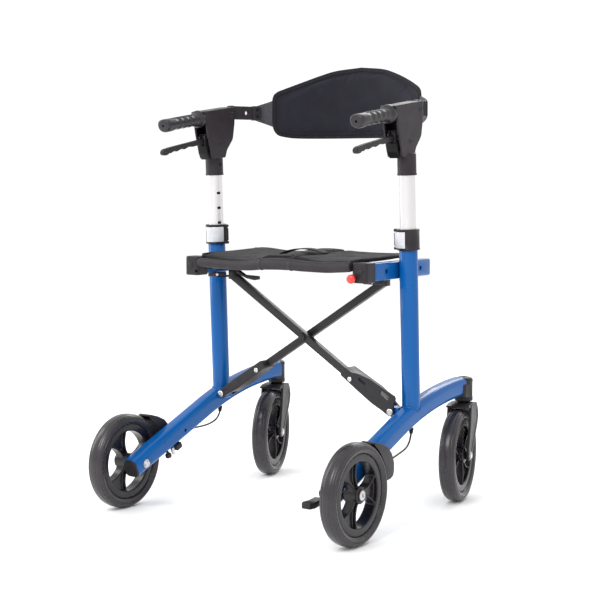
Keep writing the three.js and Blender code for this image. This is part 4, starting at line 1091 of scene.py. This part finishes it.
# ------------------------------------------------------------------ soft goods
def swollen(mesh, voxel, pressure, cap, frames=16):
    """Cloth pressure on a remeshed copy; no point may move more than cap millimetres."""
    base = modified(mesh, ("REMESH", dict(mode="VOXEL", voxel_size=voxel * MM)),
                    ("SMOOTH", dict(factor=0.5, iterations=3)))
    rest = np.empty(len(base.vertices) * 3)
    base.vertices.foreach_get("co", rest)
    rest = rest.reshape(-1, 3)
    ob = bpy.data.objects.new("cloth_work", base)
    scene.collection.objects.link(ob)
    mod = ob.modifiers.new("cloth", "CLOTH")
    mod.settings.use_pressure = True
    mod.settings.uniform_pressure_force = pressure
    mod.settings.effector_weights.gravity = 0
    mod.settings.tension_stiffness = 8
    mod.settings.compression_stiffness = 8
    mod.point_cache.frame_start, mod.point_cache.frame_end = 1, frames
    for frame_number in range(1, frames + 1):
        scene.frame_set(frame_number)
    swelled = bpy.data.meshes.new_from_object(ob.evaluated_get(bpy.context.evaluated_depsgraph_get()))
    bpy.data.objects.remove(ob)
    scene.frame_set(1)
    moved_to = np.empty(len(swelled.vertices) * 3)
    swelled.vertices.foreach_get("co", moved_to)
    step = moved_to.reshape(-1, 3) - rest
    size = np.linalg.norm(step, axis=1)[:, None] + 1e-9
    step *= np.minimum(size, cap * MM) / size
    swelled.vertices.foreach_set("co", (rest + step).ravel())
    swelled.update()
    return modified(swelled, ("SMOOTH", dict(factor=0.5, iterations=2)),
                    ("SUBSURF", dict(levels=1, render_levels=1)))


SEAT_X = [-206, -178, -150, -120, -90, -60, -30, 0, 30, 60, 90, 120, 150, 178, 206]
SEAT_Y = [-80, -25, 35, 95, 150]
SEAT_TOP = np.array([
    [540, 534, 528, 525.5, 525.5, 528, 539, 541, 541, 537, 530, 528, 530, 535, 541],
    [541, 537, 534, 532, 531, 532, 537, 540, 540, 537, 533, 531, 532, 536.5, 541],
    [541, 538.5, 536, 534, 533, 534, 538, 541, 541, 538, 535, 534, 535, 537.5, 541.5],
    [542.5, 541, 538, 536, 535.5, 538, 542, 544, 543, 540, 538, 537, 538, 539.5, 542],
    [544, 543, 540, 538, 538, 542, 546, 546, 544, 541, 540, 540, 540, 541, 542]], float)


def smooth_1d(values, knots, at):
    """Catmull-Rom through values at knots."""
    knots = np.asarray(knots, float)
    slopes = np.gradient(np.asarray(values, float), knots, axis=0)
    i = np.clip(np.searchsorted(knots, at) - 1, 0, len(knots) - 2)
    h = knots[i + 1] - knots[i]
    t = (at - knots[i]) / h
    a, b = values[i], values[i + 1]
    return (a * (2 * t ** 3 - 3 * t ** 2 + 1) + b * (3 * t ** 2 - 2 * t ** 3)
            + slopes[i] * h * (t ** 3 - 2 * t ** 2 + t) + slopes[i + 1] * h * (t ** 3 - t ** 2))


def seat_height(x, y):
    across = [smooth_1d(row, SEAT_X, x) for row in SEAT_TOP]
    return float(smooth_1d(np.array(across), SEAT_Y, y))


def seat_sheet(x0, x1, y0, y1, top, thickness, nx, ny):
    """A sheet that follows the seat's top; top is its upper face's offset from it."""
    def layer(drop):
        return [[(x, y, seat_height(x, y) + top - drop) for x in np.linspace(x0, x1, nx)]
                for y in np.linspace(y0, y1, ny)]
    upper, lower = layer(0), layer(thickness)
    return stacked([up + down[::-1] for up, down in zip(upper, lower)])


def make_seat():
    def folding(ob):
        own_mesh(ob)

    def trim(name, geo, mat, smooth=50):
        folding(put(name, geo, mat, "seat", (), smooth))

    for side, x0, x1 in (("left", -206, 26), ("right", 33, 206)):
        panel = seat_sheet(x0 + 2, x1 - 2, -78, 148, -1.8, 4.6, 36, 46)
        panel = swollen(to_mesh(panel), 4.2, 3.0, 2.6)
        ob = put(f"seat_panel_{side}", panel, "weave", "seat",
                 ["seat_sling"] if side == "left" else [], 60)
        folding(ob)
        # binding tape round the panel's edge
        loop = []
        corners = [(x0 + 2, -78), (x1 - 2, -78), (x1 - 2, 148), (x0 + 2, 148)]
        for a, b in zip(corners, corners[1:] + corners[:1]):
            for t in np.linspace(0, 1, 30)[:-1]:
                x, y = a[0] + (b[0] - a[0]) * t, a[1] + (b[1] - a[1]) * t
                loop.append((x, y, seat_height(x, y) - 4.1))
        tape = closed_sweep(soften_loop(loop, 3), ring_rect(3.6, 5.6, 1.4, 3))
        trim(f"seat_binding_{side}", tape, "binding")
        # quilting seams sewn across the panel
        seams = []
        for y in (-40, 112):
            xs = np.linspace(x0 + 8, x1 - 8, 40)
            seams.append(sweep([(x, y, seat_height(x, y) + 0.35) for x in xs], circle(0.55, 8), side=(0, 1, 0)))
        trim(f"seat_seams_{side}", joined(*seams), "thread", 38)
    # hinge cloth between the panels
    trim("seat_hinge_cloth", seat_sheet(18, 41, -78, 148, -3.6, 2.2, 9, 40), "binding")

    # lifting strap, sewn down at both ends
    left, pull, right = (-62, 537.6), (-6, 559.4), (50, 541.8)
    path = []
    for t in np.linspace(0, 1, 40):
        x, z = ((1 - t) ** 2 * a + 2 * t * (1 - t) * b + t * t * c for a, b, c in zip(left, pull, right))
        path.append((x, 30, z))
    strap = sweep(path, ring_rect(25, 2.4, 0.9, 3), side=(0, 1, 0))
    ob = put("lift_strap", strap, "binding", "seat", ["seat_strap"], 50)
    folding(ob)

    # foam sleeve over the rear edge: it sags between the rails, with two moulded collars
    centre = [(-194, 520), (-160, 518.5), (-120, 516.8), (-85, 516.6), (-55, 518.2), (-28, 521.6), (13, 523.6),
              (49, 523), (80, 521.4), (131, 520.4), (165, 522), (194, 524)]
    radius = [(-194, 9.6), (-90, 10), (-45, 11.2), (-20, 12), (13, 12.4), (45, 12), (80, 11.4), (140, 11),
              (194, 10.6)]
    path = spline([(x, -93.5, z) for x, z in centre], 170)
    scale = []
    for x in path[:, 0]:
        grow = float(smooth_1d(np.array(radius)[:, 1], np.array(radius)[:, 0], x))
        for c in (-27.6, 49):
            grow += 0.9 * math.exp(-((x - c) / 3.2) ** 4) - 0.5 * math.exp(-((abs(x - c) - 5.4) / 1.4) ** 2)
        end = min(x + 194, 194 - x)
        scale.append(grow - (0.9 if end < 2 else 0))
    roll = sweep(path, circle(1, 40), side=(0, 1, 0), scale=scale)
    ob = put("edge_sleeve", roll, "sleeve", "seat", ["seat_edge_roll"], 60)
    folding(ob)
    # flap that joins each panel to the sleeve, in near-black binding so that it also stands for the deep shade
    # in the gap between them: partly real cloth, partly painted shade
    rows = []
    for x in np.linspace(-186, 186, 94):
        z_roll = float(np.interp(x, path[:, 0], path[:, 2]))
        r_roll = float(np.interp(x, path[:, 0], scale))
        z_seat = seat_height(x, -78) - 4.2
        line = [(-93.5 + (r_roll + 0.5) * math.sin(a), z_roll + (r_roll + 0.5) * math.cos(a))
                for a in (0.1, 0.5, 0.9)]
        line += [(-79.5, z_seat), (-74, z_seat)]
        rows.append([(x, y, z + 0.6) for y, z in line] + [(x, y, z - 0.6) for y, z in reversed(line)])
    trim("edge_flap_and_gap_shade", stacked(rows), "binding", 60)


def soften_loop(points, rounds):
    pts = np.asarray(points, float)
    for _ in range(rounds):
        pts = (np.roll(pts, 1, 0) + 2 * pts + np.roll(pts, -1, 0)) / 4
    return pts


PAD_R, PAD_Y, PAD_TURN = 261.7, 18.8, -4.5
PAD_HALF = [(13, 943), (21.7, 932), (30.3, 918), (38.8, 903.5), (43.5, 894.5), (45.4, 883), (45.8, 858),
            (45.6, 822), (43.5, 802), (39, 795)]


def pad_outline():
    """The backrest's outline as (arc length from its middle, height)."""
    scale = PAD_R * math.pi / 180
    right = [(a * scale, z) for a, z in PAD_HALF]
    left = [(-a, z) for a, z in reversed(right)]
    key = [(0, 949)] + right + [(30 * scale, 792), (0, 792), (-30 * scale, 792)] + left
    pts = np.array(key)
    return spline([(*p, 0) for p in list(pts) + [pts[0]]], 281)[:-1, :2]


def inset(points, distance):
    """The closed path moved sideways by a distance."""
    pts = np.asarray(points, float)
    tangents = np.roll(pts, -2, 0) - np.roll(pts, 2, 0)
    tangents /= np.linalg.norm(tangents, axis=1)[:, None]
    normals = np.stack([tangents[:, 1], -tangents[:, 0]], 1)
    return pts + normals * distance


def bent(geo):
    """Wraps flat geometry (arc length, height, depth) onto the backrest's curve."""
    v = np.asarray(geo[0], float)
    a = v[:, 0] / PAD_R + math.radians(PAD_TURN)
    r = PAD_R + v[:, 2]
    return np.stack([r * np.sin(a), PAD_Y + r * np.cos(a), v[:, 1]], 1), geo[1]


def slab(outline, low, high, step=4.0):
    """A flat plate remeshed to an even grid, so that it can bend."""
    mesh = to_mesh(prism([(p[0], p[1]) for p in outline], low, high, "Z"))
    return geo_of(modified(mesh, ("REMESH", dict(mode="VOXEL", voxel_size=step * MM))))


def make_backrest():
    line = pad_outline()
    # the sign that makes inset() go to the outline's inner side
    inward = -1 if np.abs(inset(line, 7)[:, 0]).max() > np.abs(line[:, 0]).max() else 1
    inner = inset(line, 7 * inward)

    def folding(ob):
        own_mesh(ob)
        return ob
    core = bent(slab(inner, -5.2, 5.2, 3.6))
    cushion = swollen(to_mesh(core), 3.8, 4.0, 3.4)
    ob = folding(put("backrest_cushion", cushion, "knit", "handle_left", ["backrest_pad"], 60))

    edge = prism([(p[0], p[1]) for p in line], -2.6, 2.6, "Z")
    border = geo_of(modified(to_mesh(edge), ("REMESH", dict(mode="VOXEL", voxel_size=1.6 * MM)),
                             ("SMOOTH", dict(factor=0.5, iterations=4))))
    ob = folding(put("backrest_border", bent(border), "knit", "handle_left", (), 60))

    # sewn welt on both faces, and a rolled edge
    welt = []
    mid = inset(line, 6.6 * inward)
    for depth in (-3.1, 3.1):
        welt.append(bent(closed_sweep([(*p, depth) for p in mid], circle(1.15, 12))))
    folding(put("backrest_welt", joined(*welt), "binding", "handle_left", (), 60))
    rolled = bent(closed_sweep([(*p, 0) for p in inset(line, 0.9 * inward)], circle(2.7, 12)))
    folding(put("backrest_edge", rolled, "binding", "handle_left", (), 60))
    stitches = []
    sewn = inset(line, 3.9 * inward)
    for k in range(0, len(sewn), 2):
        a, b = sewn[k], sewn[(k + 1) % len(sewn)]
        for depth in (-2.75, 2.75):
            path = [(*(a + (b - a) * t), depth) for t in (0.05, 0.3, 0.6, 0.85)]
            stitches.append(bent(sweep(path, circle(0.35, 6), side=(0, 0, 1), scale=[0.4, 1, 1, 0.4])))
    folding(put("backrest_stitches", joined(*stitches), "thread", "handle_left", (), 60))

    # webbing tabs from the pad to the brackets
    span = 45.8
    for name, sign in (("left", -1), ("right", 1)):
        start = sign * (span - 1.5) * PAD_R * math.pi / 180
        end = (sign * 60 - PAD_TURN) * PAD_R * math.pi / 180
        rows = []
        for t in np.linspace(0, 1, 24):
            s = start + (end - start) * t
            half = (66 + (31 - 66) * t ** 0.85) / 2
            rows.append([(s, BRACKET_Z + half * v, d) for v, d in tab_section(1.5)])
        tab = bent(stacked(rows))
        ob = folding(put(f"backrest_tab_{name}", tab, "webbing", "handle_left", (), 50))


def tab_section(half):
    """A flat strip's section from -1 to 1, with rolled edges."""
    out = [(v, -half * (1 if abs(v) < 0.97 else 0.6)) for v in np.linspace(-1, 1, 15)]
    out += [(v, half * (1 if abs(v) < 0.97 else 0.6)) for v in np.linspace(1, -1, 15)]
    return out


# ------------------------------------------------------------------ assembly
make_camera()
MATS = make_materials()
make_stage()
make_lower_tubes()
make_posts()
make_rails()
make_collars()
make_handles()
make_cross_bars()
make_wheels()
make_casters()
make_brakes()
make_seat()
make_backrest()
